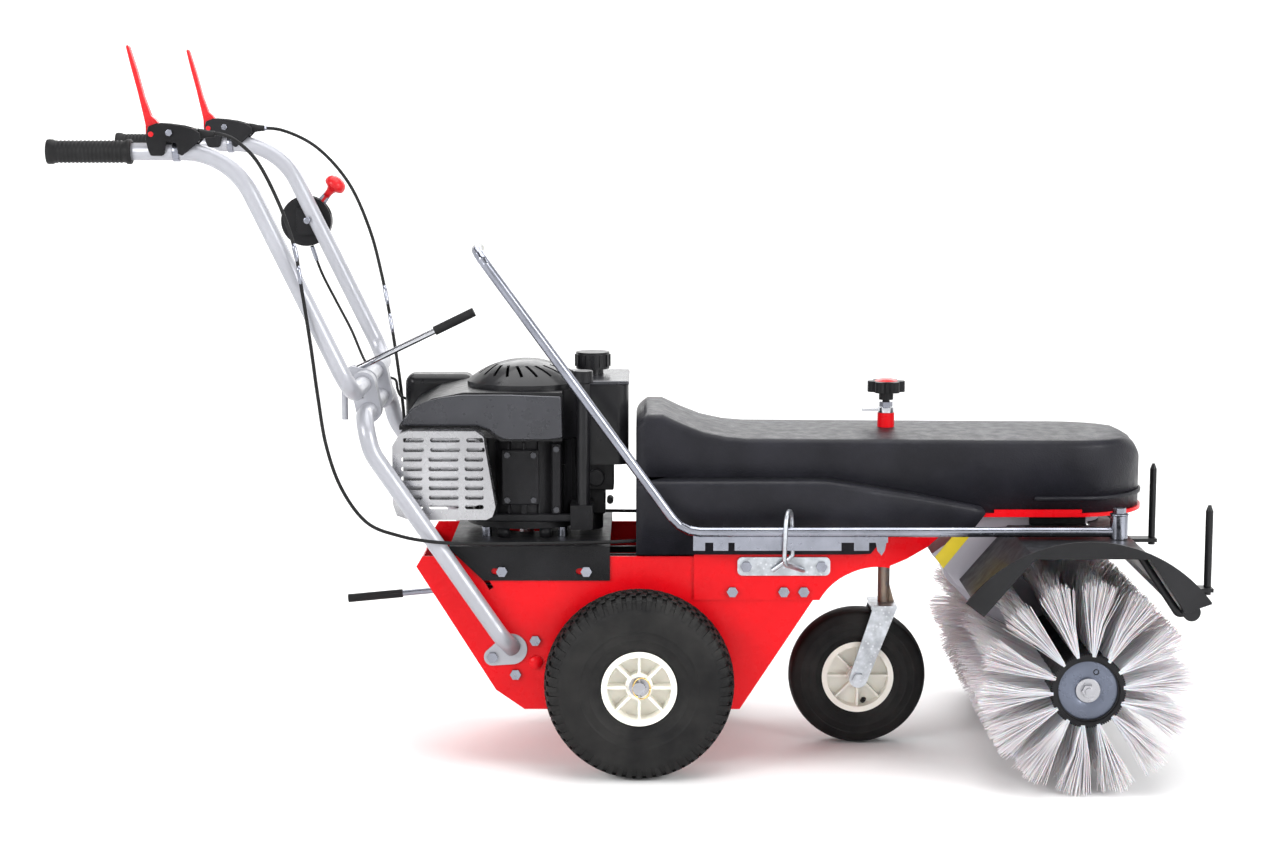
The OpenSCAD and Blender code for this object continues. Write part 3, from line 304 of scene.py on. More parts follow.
def sweep(points, radius, sides=20):
    """A closed tube along points; radius is one number, or one for each point."""
    pts = [Vector(p) for p in points]
    size = radius if isinstance(radius, (list, tuple)) else [radius] * len(pts)
    along = [(pts[min(i + 1, len(pts) - 1)] - pts[max(i - 1, 0)]).normalized()
             for i in range(len(pts))]
    side = along[0].orthogonal().normalized()
    verts, faces = [], []
    for i, p in enumerate(pts):
        side = (side - along[i] * side.dot(along[i])).normalized()
        up = along[i].cross(side)
        for k in range(sides):
            a = 2 * math.pi * k / sides
            verts.append(tuple(p + size[i] * (math.cos(a) * side + math.sin(a) * up)))
    for i in range(len(pts) - 1):
        for k in range(sides):
            q = (k + 1) % sides
            faces.append((i * sides + k, i * sides + q, (i + 1) * sides + q, (i + 1) * sides + k))
    faces.append(tuple(range(sides - 1, -1, -1)))
    faces.append(tuple((len(pts) - 1) * sides + k for k in range(sides)))
    return verts, faces


def joined(*parts):
    """Several meshes as one."""
    verts, faces = [], []
    for v, f in parts:
        n = len(verts)
        verts += v
        faces += [tuple(i + n for i in q) for q in f]
    return verts, faces


def block(low, high):
    """A box between two opposite corners."""
    (a, b, c), (d, e, f) = low, high
    return ([(a, b, c), (d, b, c), (d, e, c), (a, e, c), (a, b, f), (d, b, f), (d, e, f), (a, e, f)],
            [(0, 3, 2, 1), (4, 5, 6, 7), (0, 1, 5, 4), (1, 2, 6, 5), (2, 3, 7, 6), (3, 0, 4, 7)])


def rounded(points, bends, step=4):
    """A line of corners in mm with true arcs at the corners, in metres."""
    p = [Vector(q) for q in points]
    out = [p[0]]
    for i in range(1, len(p) - 1):
        u, w = (p[i] - p[i - 1]).normalized(), (p[i + 1] - p[i]).normalized()
        turn, r = u.angle(w), bends[i]
        n = (w - u * u.dot(w)).normalized()
        c = p[i] - u * r * math.tan(turn / 2) + n * r
        steps = max(2, math.ceil(math.degrees(turn) / step))
        out += [c + r * (math.sin(turn * k / steps) * u - math.cos(turn * k / steps) * n)
                for k in range(steps + 1)]
    out.append(p[-1])
    return [q * MM for q in out]


def smooth_route(points, steps=10):
    """The same curve through its points as the CAD cables, in metres."""
    p, out = [Vector(q) for q in points], []
    for i in range(len(p) - 1):
        a, b, c, d = p[max(i - 1, 0)], p[i], p[i + 1], p[min(i + 2, len(p) - 1)]
        for k in range(steps):
            t = k / steps
            out.append(0.5 * (2 * b + (c - a) * t + (2 * a - 5 * b + 4 * c - d) * t * t
                              + (3 * b - a - 3 * c + d) * t ** 3) * MM)
    return out + [p[-1] * MM]


def side_outline(points, y0, y1):
    """A flat piece from (x, z) points in mm, between two places across in metres."""
    n = len(points)
    verts = [(x * MM, y, z * MM) for y in (y0, y1) for x, z in points]
    faces = [(i, (i + 1) % n, n + (i + 1) % n, n + i) for i in range(n)]
    return verts, faces + [tuple(range(n - 1, -1, -1)), tuple(range(n, 2 * n))]


def drum(start, end, radius, sides=32):
    """A closed cylinder between two points."""
    return sweep([start, end], radius, sides)


# ---------------------------------------------------------------- finish of the CAD nodes
NODE_FINISH = {row["node"]: row["material_slot"] for row in frame["record"]["subparts"]}
NODE_FINISH.update(caster_fork="galvanised", clamp_lever="chrome", lock_lever="chrome",
                   rod_guide="galvanised")
WELD_GAP = 1e-6
FLAT_ANGLE = math.radians(0.4)      # facets closer than this to one plane are joined
EDGE_ANGLE = 35                     # degrees


def finish_node(name, bevel):
    """Gives a CAD node its material, smooth shading and softly rounded edges."""
    node = frame["nodes"][name]
    node.data.materials.clear()
    node.data.materials.append(SURFACES[NODE_FINISH[name]])
    weld = node.modifiers.new("weld", "WELD")
    weld.merge_threshold = WELD_GAP
    flat = node.modifiers.new("flat", "DECIMATE")
    flat.decimate_type = "DISSOLVE"
    flat.angle_limit = FLAT_ANGLE
    for face in node.data.polygons:
        face.use_smooth = True
    soften(node, bevel, 2, EDGE_ANGLE)


def zone(name, finish, inside):
    """Gives the faces of a CAD node whose middle is inside the zone their own material."""
    mesh = frame["nodes"][name].data
    mesh.materials.append(SURFACES[finish])
    for face in mesh.polygons:
        if inside(face.center):
            face.material_index = len(mesh.materials) - 1


def beyond(start, direction, length):
    """The zone that lies further than length from start, along direction."""
    along = Vector(direction).normalized()
    return lambda centre: (centre - Vector(start)).dot(along) > length


# ---------------------------------------------------------------- handlebars
UPPER_RADIUS = 13.5
UPPER_BENDS = [0, 115, 45, 45, 115, 0]
UPPER = [(-904, -256, 997), (-629, -256, 997), (-447, -256, 619), (-447, 256, 619),
         (-629, 256, 997), (-904, 256, 997)]
LOWER_RADIUS = 14
LOWER_BENDS = [0, 34, 80, 38, 38, 80, 34, 0]
LOWER = [(-203.9, -169.3, 196.9), (-222, -195, 222), (-425, -195, 520), (-438, -195, 576),
         (-438, 195, 576), (-425, 195, 520), (-222, 195, 222), (-203.9, 169.3, 196.9)]
BAR_SIDES = 28

piece("upper_handlebar_tube", *sweep(rounded(UPPER, UPPER_BENDS), UPPER_RADIUS * MM, BAR_SIDES),
      "bar_paint", "handlebar", replaces=["upper_handlebar"])
piece("lower_handlebar_tube", *sweep(rounded(LOWER, LOWER_BENDS), LOWER_RADIUS * MM, BAR_SIDES),
      "bar_paint", "chassis", replaces=["lower_handlebar"])

# ---------------------------------------------------------------- cables
RIGHT_ROUTE = [(-668.5, -256, 1024), (-645, -257, 1024), (-618, -260, 1013), (-585, -265, 980),
               (-552, -272, 915), (-530, -277, 850), (-519, -278, 780), (-508, -276, 700),
               (-500, -264, 620), (-490, -250, 540), (-468, -242, 470), (-430, -236, 415),
               (-380, -228, 392), (-320, -220, 380), (-240, -207, 375), (-150, -191, 373),
               (-60, -177, 372), (-5.5, -162, 372)]
LEFT_ROUTE = [(-668.5, 256, 1024), (-620, 256, 1020), (-560, 250, 990), (-505, 236, 930),
              (-468, 222, 850), (-446, 206, 770), (-430, 192, 690), (-417, 178, 610),
              (-408, 166, 540), (-402, 158, 460), (-370, 150, 398), (-310, 140, 376),
              (-240, 130, 374), (-120, 118, 374), (-5.5, 110, 374)]
THROTTLE_ROUTE = [(-577, 284, 817.8), (-560, 282, 770), (-534, 274, 720), (-506, 252, 672),
                  (-484, 226, 628), (-466, 207, 603), (-442.5, 187, 597.5), (-422, 169, 594),
                  (-417, 158, 579), (-411, 150, 568), (-400.8, 144, 564)]

CLUTCH_SHEATH, THROTTLE_SHEATH = 2.8, 2.3       # radii
FERRULE_END = 0.82                              # a ferrule's radius at its ends, as a share


def bowden(name, route, radius, ferrules, node):
    """Sheathed cable. Each ferrule is (share of the length, half its steps, radius)."""
    line = smooth_route(route)
    last = len(line) - 1
    sheath = piece(name, *sweep(line, radius * MM, 14), "rubber", None, replaces=[node])
    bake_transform(sheath)
    for i, (share, half, size) in enumerate(ferrules):
        middle = int(share * last)
        inside = line[max(0, middle - half):min(last, middle + half) + 1]
        ends = (0, len(inside) - 1)
        taper = [size * MM * (FERRULE_END if k in ends else 1) for k in range(len(inside))]
        sleeve = piece(f"{name}_sleeve_{i}", *sweep(inside, taper, 16), "zinc", None)
        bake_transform(sleeve)


bowden("clutch_cable_right_sheath", RIGHT_ROUTE, CLUTCH_SHEATH,
       [(0.02, 3, 4.4), (0.30, 2, 3.7), (0.335, 2, 3.4)],
       "clutch_cable_right")
bowden("clutch_cable_left_sheath", LEFT_ROUTE, CLUTCH_SHEATH,
       [(0.02, 3, 4.4), (0.39, 2, 3.7), (0.43, 2, 3.4)],
       "clutch_cable_left")
bowden("throttle_cable_sheath", THROTTLE_ROUTE, THROTTLE_SHEATH, [(0.03, 3, 3.8)],
       "throttle_cable")

# ---------------------------------------------------------------- grips
ARM_Y = 0.256           # middle of each handlebar arm, and its height
ARM_Z = 0.997
GRIP_END = -0.910
RIDGES = 17
RIDGE_STEP = 6.2

grip_outer = [(18.6, 0), (19.3, 3), (19.0, 9), (17.4, 12)]
for k in range(RIDGES):
    h = 14 + RIDGE_STEP * k
    grip_outer += [(17.4, h), (17.5, h + 1.2), (16.5, h + 2.2), (16.5, h + 4.2)]
grip_outer += [(17.4, 121), (19.3, 123.5), (19.4, 128), (18.2, 130)]
grip_inner = [(13.7, 130), (13.7, 8), (4, 7), (4, 0.3), (10, 0)]
for tag, side in SIDES:
    turn = Matrix.Translation((GRIP_END, side * ARM_Y, ARM_Z)) @ ALONG_X
    piece(f"grip_{tag}", *turned(in_metres(grip_outer + grip_inner), turn, 64), "rubber",
          "handlebar", replaces=["hand_grips"] if tag == "right" else [])

# ---------------------------------------------------------------- levers and brackets
PIVOT_X, PIVOT_Z = -0.747, 1.024
BOLT_X, BOLT_Z = -0.719, 1.0262
STRAP_X = -0.711
BLADE_HALF = 0.0080
CHEEK = (0.0148, 0.0186)        # inner and outer face of a bracket's cheek, from its middle
CORE_HALF = 0.0146
BOLT_HEAD, BOLT_RADIUS = (0.0180, 0.0225), 0.0056       # from its seat to its face, across
PIN_HEAD, PIN_RADIUS = (BLADE_HALF, 0.0200), 0.0042
BLADE = [(-784, 1157), (-782, 1160), (-779.5, 1158), (-768, 1120), (-758, 1080), (-748, 1052),
         (-741, 1046), (-736.5, 1040), (-737, 1031), (-739, 1022), (-743, 1014), (-750, 1012.5),
         (-756, 1016), (-757, 1026), (-757, 1038), (-761, 1058), (-768, 1090), (-777, 1126)]
PLATE = [(-751, 1036), (-738, 1041), (-722, 1040), (-700, 1037), (-682, 1032), (-672, 1026),
         (-671, 1017), (-680, 1007), (-700, 991), (-706, 994), (-709, 1011), (-723, 1013),
         (-727, 993), (-731, 991), (-748, 991), (-752, 1000), (-756, 1018)]
STRAP = [(13.7, -5), (15.0, -5), (15.4, -4), (15.4, 4), (15.0, 5), (13.7, 5)]


def lever(tag, y):
    """Clutch lever with its bracket, boot, strap, bolt and pin on the arm at y."""
    blade = side_outline(BLADE, y - BLADE_HALF, y + BLADE_HALF)
    soften(piece(f"clutch_blade_{tag}", *blade, "red_plastic", f"clutch_{tag}",
                 slot="red_plastic", replaces=[f"clutch_lever_{tag}"]), 0.0026, 4, 25)
    cheeks = [side_outline(PLATE, y + e * CHEEK[0], y + e * CHEEK[1]) for e in (-1, 1)]
    core = block((-0.7275, y - CORE_HALF, 1.0112), (-0.6770, y + CORE_HALF, 1.0325))
    soften(piece(f"lever_bracket_{tag}", *joined(*cheeks, core), "control_plastic", "handlebar",
                 replaces=["lever_brackets"] if tag == "right" else []), 0.0020, 3)
    boot = sweep([(-0.679, y, 1.024), (-0.672, y, 1.024), (-0.664, y, 1.024),
                  (-0.652, y, 1.0238)], [0.0085, 0.0080, 0.0060, 0.0048], 20)
    piece(f"lever_boot_{tag}", *boot, "rubber", "handlebar")
    turn = Matrix.Translation((STRAP_X, y, ARM_Z)) @ ALONG_X
    piece(f"lever_strap_{tag}", *turned(in_metres(STRAP), turn, 48), "zinc", "handlebar")
    bolts, pins = [], []
    for e in (-1, 1):
        seat, face = (y + e * reach for reach in BOLT_HEAD)
        bolts.append(drum((BOLT_X, seat, BOLT_Z), (BOLT_X, face, BOLT_Z), BOLT_RADIUS, 6))
        seat, face = (y + e * reach for reach in PIN_HEAD)
        pins.append(drum((PIVOT_X, seat, PIVOT_Z), (PIVOT_X, face, PIVOT_Z), PIN_RADIUS, 24))
    soften(piece(f"lever_bolt_{tag}", *joined(*bolts), "zinc", "handlebar"), 0.0007, 2)
    soften(piece(f"lever_pin_{tag}", *joined(*pins), "red_plastic", f"clutch_{tag}"), 0.0008, 2)


for tag, side in SIDES:
    lever(tag, side * ARM_Y)

# ---------------------------------------------------------------- throttle
KNOB = [(0.01, -25), (6.0, -25), (6.6, -14), (9.0, -9), (15.5, -6), (18.6, -3), (19.0, 1),
        (18.0, 6), (14.5, 11), (8.0, 14.6), (0.01, 15.8)]
KNOB_PLACE = (-0.535, 0.284, 0.924)
KNOB_TILT = 39          # degrees
BOLT_FACE, BOLT_BACK = (-0.5790, 0.2430, 0.8646), (-0.5790, 0.2375, 0.8646)

turn = Matrix.Translation(KNOB_PLACE) @ Matrix.Rotation(math.radians(KNOB_TILT), 4, "Y")
piece("throttle_knob", *turned(in_metres(KNOB), turn, 48, closed=False), "red_plastic", "throttle")
soften(piece("throttle_bolt", *drum(BOLT_FACE, BOLT_BACK, 0.0062, 24), "zinc", "handlebar"),
       0.0018, 3)

# ---------------------------------------------------------------- tyres
BEAD = 55.0             # radius where the tyre meets its rim
LUGS_END = 0.39         # half the tread's width, as a share of the tyre's
DRIVE_R, DRIVE_W = 152, 96
CASTER_R, CASTER_W = 115, 62
DRIVE_Y = 0.225
CASTER_X = 0.366
TREAD = 4.2             # depth of the tread
LUG_COUNT = 56          # on each shoulder
# each row of lugs: offset, inner and outer width and skew in pitches, with its start and end
# as places along the tyre's outline
LUG_ROWS = ((0.0, 0.62, 0.52, 0.0, 6.0, 12.2), (0.5, 0.60, 0.62, 0.12, 3.1, 5.5),
            (0.0, 0.56, 0.56, -0.12, 0.35, 2.7))
DRIVE_STEPS = 168       # facets round the drive tyre


def wall_profile(r, w):
    """Radius of a tyre's outer face against its distance across, from the crown to the bead."""
    crown, wall = 1.15 * w, 0.9375 * w
    mid = (r + BEAD) / 2

    def radius(h):
        a = r - crown + math.sqrt(max(crown ** 2 - h * h, 0))
        b = mid + math.sqrt(max(wall ** 2 - (h + wall - w / 2) ** 2, 0))
        return min(a, b)

    edge = w * LUGS_END
    shoulder = [(radius(edge * k / 8), edge * k / 8) for k in range(9)]
    corner = radius(edge)
    side = []
    for k in range(1, 19):
        rr = corner + (BEAD + 1 - corner) * k / 18
        side.append((rr, math.sqrt(max(wall ** 2 - (rr - mid) ** 2, 0)) - wall + w / 2))
    return shoulder, side


def tyre_mesh(r, w, sink, rings):
    """Carcass of a tyre: sink lowers the tread's floor, rings are fine steps on the side walls."""
    shoulder, side = wall_profile(r, w)
    half = [(a - sink, h) for a, h in shoulder]
    for i, (a, h) in enumerate(side):
        blend_in = max(0.0, 1 - i / 3) * sink * 0.6
        ring = 0.9 if i in rings else 0.0
        half.append((a - blend_in * 0.3, h - blend_in + ring))
        if ring:
            half.append((a - 1.1, h + ring))
            half.append((a - 1.8, h))
    both = [(a, -h) for a, h in reversed(half)] + half[1:]
    inner = [(BEAD + 1, half[-1][1] - 5), (BEAD + 12, w * 0.34), (r - 14, w * 0.3),
             (r - 14, -w * 0.3), (BEAD + 12, -w * 0.34), (BEAD + 1, 5 - half[-1][1])]
    return [(a * MM, h * MM) for a, h in both + inner]


def lugs(r, w, count, y, z, sink):
    """Shoulder bars and staggered centre blocks that follow the tyre's outer face."""
    shoulder, side = wall_profile(r, w)
    line = shoulder + side
    parts = []

    def at(s):
        i = min(int(s), len(line) - 2)
        f = s - i
        a, b = line[i], line[i + 1]
        return a[0] + (b[0] - a[0]) * f, a[1] + (b[1] - a[1]) * f

    def lug(mid, wide0, wide1, s0, s1, sign, skew):
        steps, verts, faces = 5, [], []
        for k in range(steps + 1):
            f = k / steps
            rr, h = at(s0 + (s1 - s0) * f)
            drop = 0.9 if k == steps else 0.0
            wide = wide0 + (wide1 - wide0) * f
            for depth, grow in ((drop, -0.10), (sink + 2.5, 0.06)):
                for e in (-1, 1):
                    a = mid + skew * f + e * wide * (0.5 + grow * 0.5)
                    # the depth runs towards the middle of the tyre's section
                    dr, dh = rr - (r + BEAD) / 2 * 0.93, h
                    size = math.hypot(dr, dh) or 1
                    q, v = rr - depth * dr / size, (h - depth * dh / size) * sign
                    verts.append((q * MM * math.cos(a), y + v * MM, z + q * MM * math.sin(a)))
        for k in range(steps):
            o, p = 4 * k, 4 * k + 4
            faces += [(o, o + 1, p + 1, p), (o + 1, o + 3, p + 3, p + 1),
                      (o + 3, o + 2, p + 2, p + 3), (o + 2, o, p, p + 2)]
        faces += [(0, 2, 3, 1), (4 * steps, 4 * steps + 1, 4 * steps + 3, 4 * steps + 2)]
        parts.append((verts, faces))

    pitch = 2 * math.pi / count
    for sign in (-1, 1):
        for i in range(count):
            a = pitch * (i + (0.5 if sign > 0 else 0))
            for offset, wide0, wide1, skew, s0, s1 in LUG_ROWS:
                lug(a + pitch * offset, pitch * wide0, pitch * wide1, s0, s1, sign, pitch * skew)
    return joined(*parts)


for tag, side in SIDES:
    y = side * DRIVE_Y
    z = DRIVE_R * MM
    profile = tyre_mesh(DRIVE_R, DRIVE_W, TREAD, (9, 12, 15))
    carcass = lathe_y(profile, 0, y, z, DRIVE_STEPS)
    tread = piece(f"drive_tyre_{tag}_tread",
                  *joined(carcass, lugs(DRIVE_R, DRIVE_W, LUG_COUNT, y, z, TREAD)),
                  "tyre", f"wheel_{tag}", smooth=False, replaces=[f"drive_tyre_{tag}"])
    for face in tread.data.polygons:
        face.use_smooth = face.index < DRIVE_STEPS * len(profile)
    # ring through the linch pin
    ring = []
    for k in range(33):
        a = 2 * math.pi * k / 32
        ring.append((0.0135 * math.cos(a) + 0.004, side * (0.2585 + 0.003 * math.sin(a)),
                     z + 0.0175 * math.sin(a)))
    piece(f"pin_ring_{tag}", *sweep(ring, 0.0013, 10), "gold", f"wheel_{tag}", slot="brass")

profile = tyre_mesh(CASTER_R, CASTER_W, 0.0, (4, 8, 12))
piece("caster_tyre_wall", *lathe_y(profile, CASTER_X, 0, CASTER_R * MM, 144), "tyre",
      "caster_wheel", replaces=["caster_tyre"])
valve = [(0.376, -0.012, 0.071), (0.377, -0.019, 0.075), (0.378, -0.027, 0.078)]
piece("caster_valve", *sweep(valve, [0.0042, 0.0040, 0.0026], 14), "rubber", "caster_wheel")

# ---------------------------------------------------------------- brush
BRUSH_X, BRUSH_Z = 0.695, 0.170         # the brush's axis
ROWS = 14
ROW_START, ROW_END = 0.030, 0.3495      # first and last tuft across, from the middle
TUFT_STEP = 0.0076
EDGE_FROM = 0.325               # the outermost tufts are fuller and fan out further
STRIPS = 9                      # in a tuft, and as many again at the edge
ROOT_R, MIDDLE_R = 0.0545, 0.105
ROOTS = (0.0275, 0.349)         # limits across of the strips' roots and tips
TIPS = (0.0275, 0.352)
REACH, REACH_LIMIT = 0.1672, 0.1698     # mean and longest radius of the tips
WORN_SHARE = 0.12               # share of the strips that are worn short
WORN_BY = (0.004, 0.020)
ROW_PHASE = 0.2                 # of a row's pitch
ROOT_FAN, TIP_FAN, EDGE_FAN = 0.045, 0.100, 0.062       # half angles, the last one extra
BOW = 0.028                     # how far the strips bend, as an angle
SHOULDER_DROP = 0.006           # how much shorter a tuft's side strips are
STRIP_HALF, STRIP_VARIES = 0.00115, 0.00045
TEETH = 96
TOOTH = ((0.0568, -0.5), (0.0585, -0.28), (0.0585, 0.28), (0.0568, 0.5))
RIM_BORE = 0.0495
RIM_BACK, RIM_SHOULDER, RIM_FACE = 0.3395, 0.3475, 0.3490
DISC = [(0.0125, 0.3424), (0.0200, 0.3424), (0.0215, 0.3436), (0.0440, 0.3436),
        (0.0462, 0.3424), (0.0494, 0.3424), (0.0494, 0.3400), (0.0125, 0.3400)]
EYELET = [(0.0032, 0.3434), (0.0046, 0.3434), (0.0046, 0.3442), (0.0040, 0.3445),
          (0.0032, 0.3442)]
EYELET_OUT = (0.012, 0.029)     # from the axis


def on_brush(radius, angle, across):
    return Vector((BRUSH_X + radius * math.cos(angle), across, BRUSH_Z + radius * math.sin(angle)))


def filament(verts, faces, root, mid, tip, wide):
    """One nylon strip with a flat section, thinner at its tip."""
    n = len(verts)
    for p, size in ((root, 1.0), (mid, 0.95), (tip, 0.62)):
        u = Vector((0, 1, 0)) * wide * size
        t = Vector((-(p.z - BRUSH_Z), 0, p.x - BRUSH_X)).normalized() * wide * 0.45 * size
        verts += [tuple(p - u), tuple(p + t), tuple(p + u), tuple(p - t)]
    for k in (0, 4):
        for q in range(4):
            w = (q + 1) % 4
            faces.append((n + k + q, n + k + w, n + k + 4 + w, n + k + 4 + q))
    faces.append((n + 3, n + 2, n + 1, n))
    faces.append((n + 8, n + 9, n + 10, n + 11))


def strip(verts, faces, side, base, y, edge, lean, droop):
    """Draws one strip of the tuft at y in the row at the angle base."""
    where = rng.uniform(-1, 1)      # from one side of the tuft to the other
    root = base + where * ROOT_FAN
    spread = where * (TIP_FAN + EDGE_FAN * edge) + rng.gauss(0, 0.016) + lean
    length = REACH + rng.gauss(0, 0.0030) - SHOULDER_DROP * where * where
    if rng.random() < WORN_SHARE:
        length -= rng.uniform(*WORN_BY)
    length = min(length, REACH_LIMIT)
    y0 = y + rng.uniform(-0.003, 0.003)
    y1 = y0 + rng.gauss(0, 0.004)
    y1 = min(max(y1, TIPS[0]), TIPS[1])
    y0 = min(max(y0, ROOTS[0]), ROOTS[1])
    bow = BOW + droop + rng.gauss(0, 0.010)
    wide = STRIP_HALF + rng.random() * STRIP_VARIES
    filament(verts, faces, on_brush(ROOT_R, root, side * y0),
             on_brush(MIDDLE_R, root + spread * 0.42 + bow * 0.55, side * ((y0 + y1) / 2)),
             on_brush(length, base + spread + bow * 0.2, side * y1), wide)


def bristle_rows(tag, side):
    verts, faces = [], []
    for row in range(ROWS):
        base = 2 * math.pi * (row + ROW_PHASE) / ROWS
        droop = rng.gauss(0.0, 0.030)
        y = ROW_START
        while y < ROW_END:
            edge = 1 if y > EDGE_FROM else 0
            lean = rng.gauss(0, 0.014)
            for _ in range(STRIPS * (1 + edge)):
                strip(verts, faces, side, base, y, edge, lean, droop)
            y += TUFT_STEP
    piece(f"bristle_rows_{tag}", verts, faces, "bristle", "brush", smooth=False,
          replaces=["bristles"] if tag == "right" else [])


def tube_end(tag, side):
    """Toothed rim, recessed disc and eyelet at the outer end of a brush tube."""
    teeth = []
    for i in range(TEETH):
        a = 2 * math.pi * i / TEETH
        for r, share in TOOTH:
            b = a + share * 2 * math.pi / TEETH * 0.9
            teeth.append((r * math.cos(b), r * math.sin(b)))
    verts, faces, n = [], [], len(teeth)
    for y, size in ((RIM_BACK, 1.0), (RIM_SHOULDER, 1.0), (RIM_FACE, 0.97)):
        verts += [(BRUSH_X + p * size, side * y, BRUSH_Z + q * size) for p, q in teeth]
    for y in (RIM_FACE, RIM_BACK):
        verts += [tuple(on_brush(RIM_BORE, math.atan2(q, p), side * y)) for p, q in teeth]
    for level in range(5):
        above = (level + 1) % 5
        for q in range(n):
            w = (q + 1) % n
            faces.append((level * n + q, level * n + w, above * n + w, above * n + q))
    piece(f"brush_rim_{tag}", verts, faces, "control_plastic", "brush", smooth=False)
    disc = lathe_y([(r, side * h) for r, h in DISC], BRUSH_X, 0, BRUSH_Z, 96)
    piece(f"brush_disc_{tag}", *disc, "hub_disc", "brush", slot="steel")
    eyelet = lathe_y([(r, side * h) for r, h in EYELET], BRUSH_X + EYELET_OUT[0], 0,
                     BRUSH_Z + EYELET_OUT[1], 24)
    piece(f"brush_disc_eyelet_{tag}", *eyelet, "control_plastic", "brush")


for tag, side in SIDES:
    bristle_rows(tag, side)
    tube_end(tag, side)

# ---------------------------------------------------------------- belt cover
def inset(plan, gap):
    """A closed plan outline moved inwards, with mitred corners."""
    n, out = len(plan), []
    for i in range(n):
        p, a, b = (Vector(plan[k % n]) for k in (i, i - 1, i + 1))
        u, w = (p - a).normalized(), (b - p).normalized()
        nu, nw = Vector((-u.y, u.x)), Vector((-w.y, w.x))
        m = (nu + nw).normalized()
        q = p + m * gap / max(m.dot(nu), 0.4)
        out.append((q.x, q.y))
    return out


def shell(name, plan, side, bend, crown, finish, body, thick=0.0032, ledge=0):
    """Skin over a plan outline, with a rounded and crowned roof or, where ledge is given, a ledge.

    side gives the low and top z at x.
    """
    n, faces = len(plan), []
    verts = [(x, y, side(x)[0]) for x, y in plan]
    steps = 7
    for k in range(steps + 1):
        a = math.radians(90 * k / steps)
        for x, y in inset(plan, bend * (1 - math.cos(a))):
            verts.append((x, y, side(x)[1] - bend * (1 - math.sin(a))))
    for r in range(steps + 1):
        for i in range(n):
            w = (i + 1) % n
            faces.append((r * n + i, r * n + w, (r + 1) * n + w, (r + 1) * n + i))
    last, half, across = (steps + 1) * n, n // 2, 8
    rows = []
    if ledge:
        verts += [(x, y, side(x)[1]) for x, y in inset(plan, bend + ledge)]
        for i in range(n):
            w = (i + 1) % n
            faces.append((last + i, last + w, last + n + w, last + n + i))
        half = 0
    for i in range(half):
        a, b = Vector(verts[last + i]), Vector(verts[last + n - 1 - i])
        row = [last + i]
        fade = min(1.0, abs(b.y - a.y) / 120) * crown
        for k in range(1, across):
            t = k / across
            p = a.lerp(b, t)
            row.append(len(verts))
            verts.append((p.x, p.y, p.z + fade * (1 - (2 * t - 1) ** 2)))
        rows.append(row + [last + n - 1 - i])
    for i in range(half - 1):
        for k in range(across):
            faces.append((rows[i][k], rows[i + 1][k], rows[i + 1][k + 1], rows[i][k + 1]))
    # the first and last rows are closed against the outline's own short sides
    if rows:
        faces.append(tuple(reversed(rows[-1])))
        faces.append(tuple(rows[0]))
    o = piece(name, in_metres(verts), faces, finish, body)
    wall = o.modifiers.new("wall", "SOLIDIFY")
    wall.thickness = thick
    wall.offset = -1
    return o


def line_at(line, x):
    """Height of a side line at x."""
    for (a, za), (b, zb) in zip(line, line[1:]):
        if x <= b:
            return za + (zb - za) * max(0.0, (x - a)) / (b - a)
    return line[-1][1]


COVER_HALF = 126        # half width, and the radius of the round nose
NOSE_X = 704
BASE_HALF = 176         # half width of the lower cover, up to BASE_TAPER
BASE_TAPER = 342
BASE_NARROWS, BASE_RUN = 40, 218        # each side comes in by 40 over a length of 218
UP_TOP = [(-5, 557), (14, 571), (38, 571), (70, 556), (103, 543), (140, 535), (175, 532),
          (500, 530), (790, 528.5), (812, 519), (830, 500)]
UP_LOW = [(-5, 352), (372, 352), (400, 386), (540, 386), (560, 411), (830, 411)]
LOW_TOP = [(-5, 468), (14, 470), (300, 470), (345, 463), (450, 444), (560, 421)]
LOW_LOW = [(-5, 352), (372, 352), (400, 386), (540, 386), (560, 411)]
COVER_TOP = 0.5285

xs = [-5, 14, 38, 70, 103, 140, 175, 290, 372, 400, 470, 540, 560, 640, NOSE_X]
nose = [(NOSE_X + COVER_HALF * math.sin(a), -COVER_HALF * math.cos(a))
        for a in [math.radians(10 * k) for k in range(1, 9)]]
plan = mirrored([(x, -COVER_HALF) for x in xs] + nose + [(829.4, -8)])
upper = shell("belt_cover_upper", plan, lambda x: (line_at(UP_LOW, x), line_at(UP_TOP, x)),
              13, 5, "cover_plastic", "chassis")
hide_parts("belt_cover")
xs = [-5, 14, 120, 230, 300, BASE_TAPER, 372, 400, 450, 500, 540, 560]
plan = mirrored([(x, -(BASE_HALF - max(0, BASE_NARROWS * (x - BASE_TAPER) / BASE_RUN))) for x in xs])
shell("belt_cover_lower", plan, lambda x: (line_at(LOW_LOW, x), line_at(LOW_TOP, x)),
      9, 0, "cover_plastic", "chassis", ledge=50)

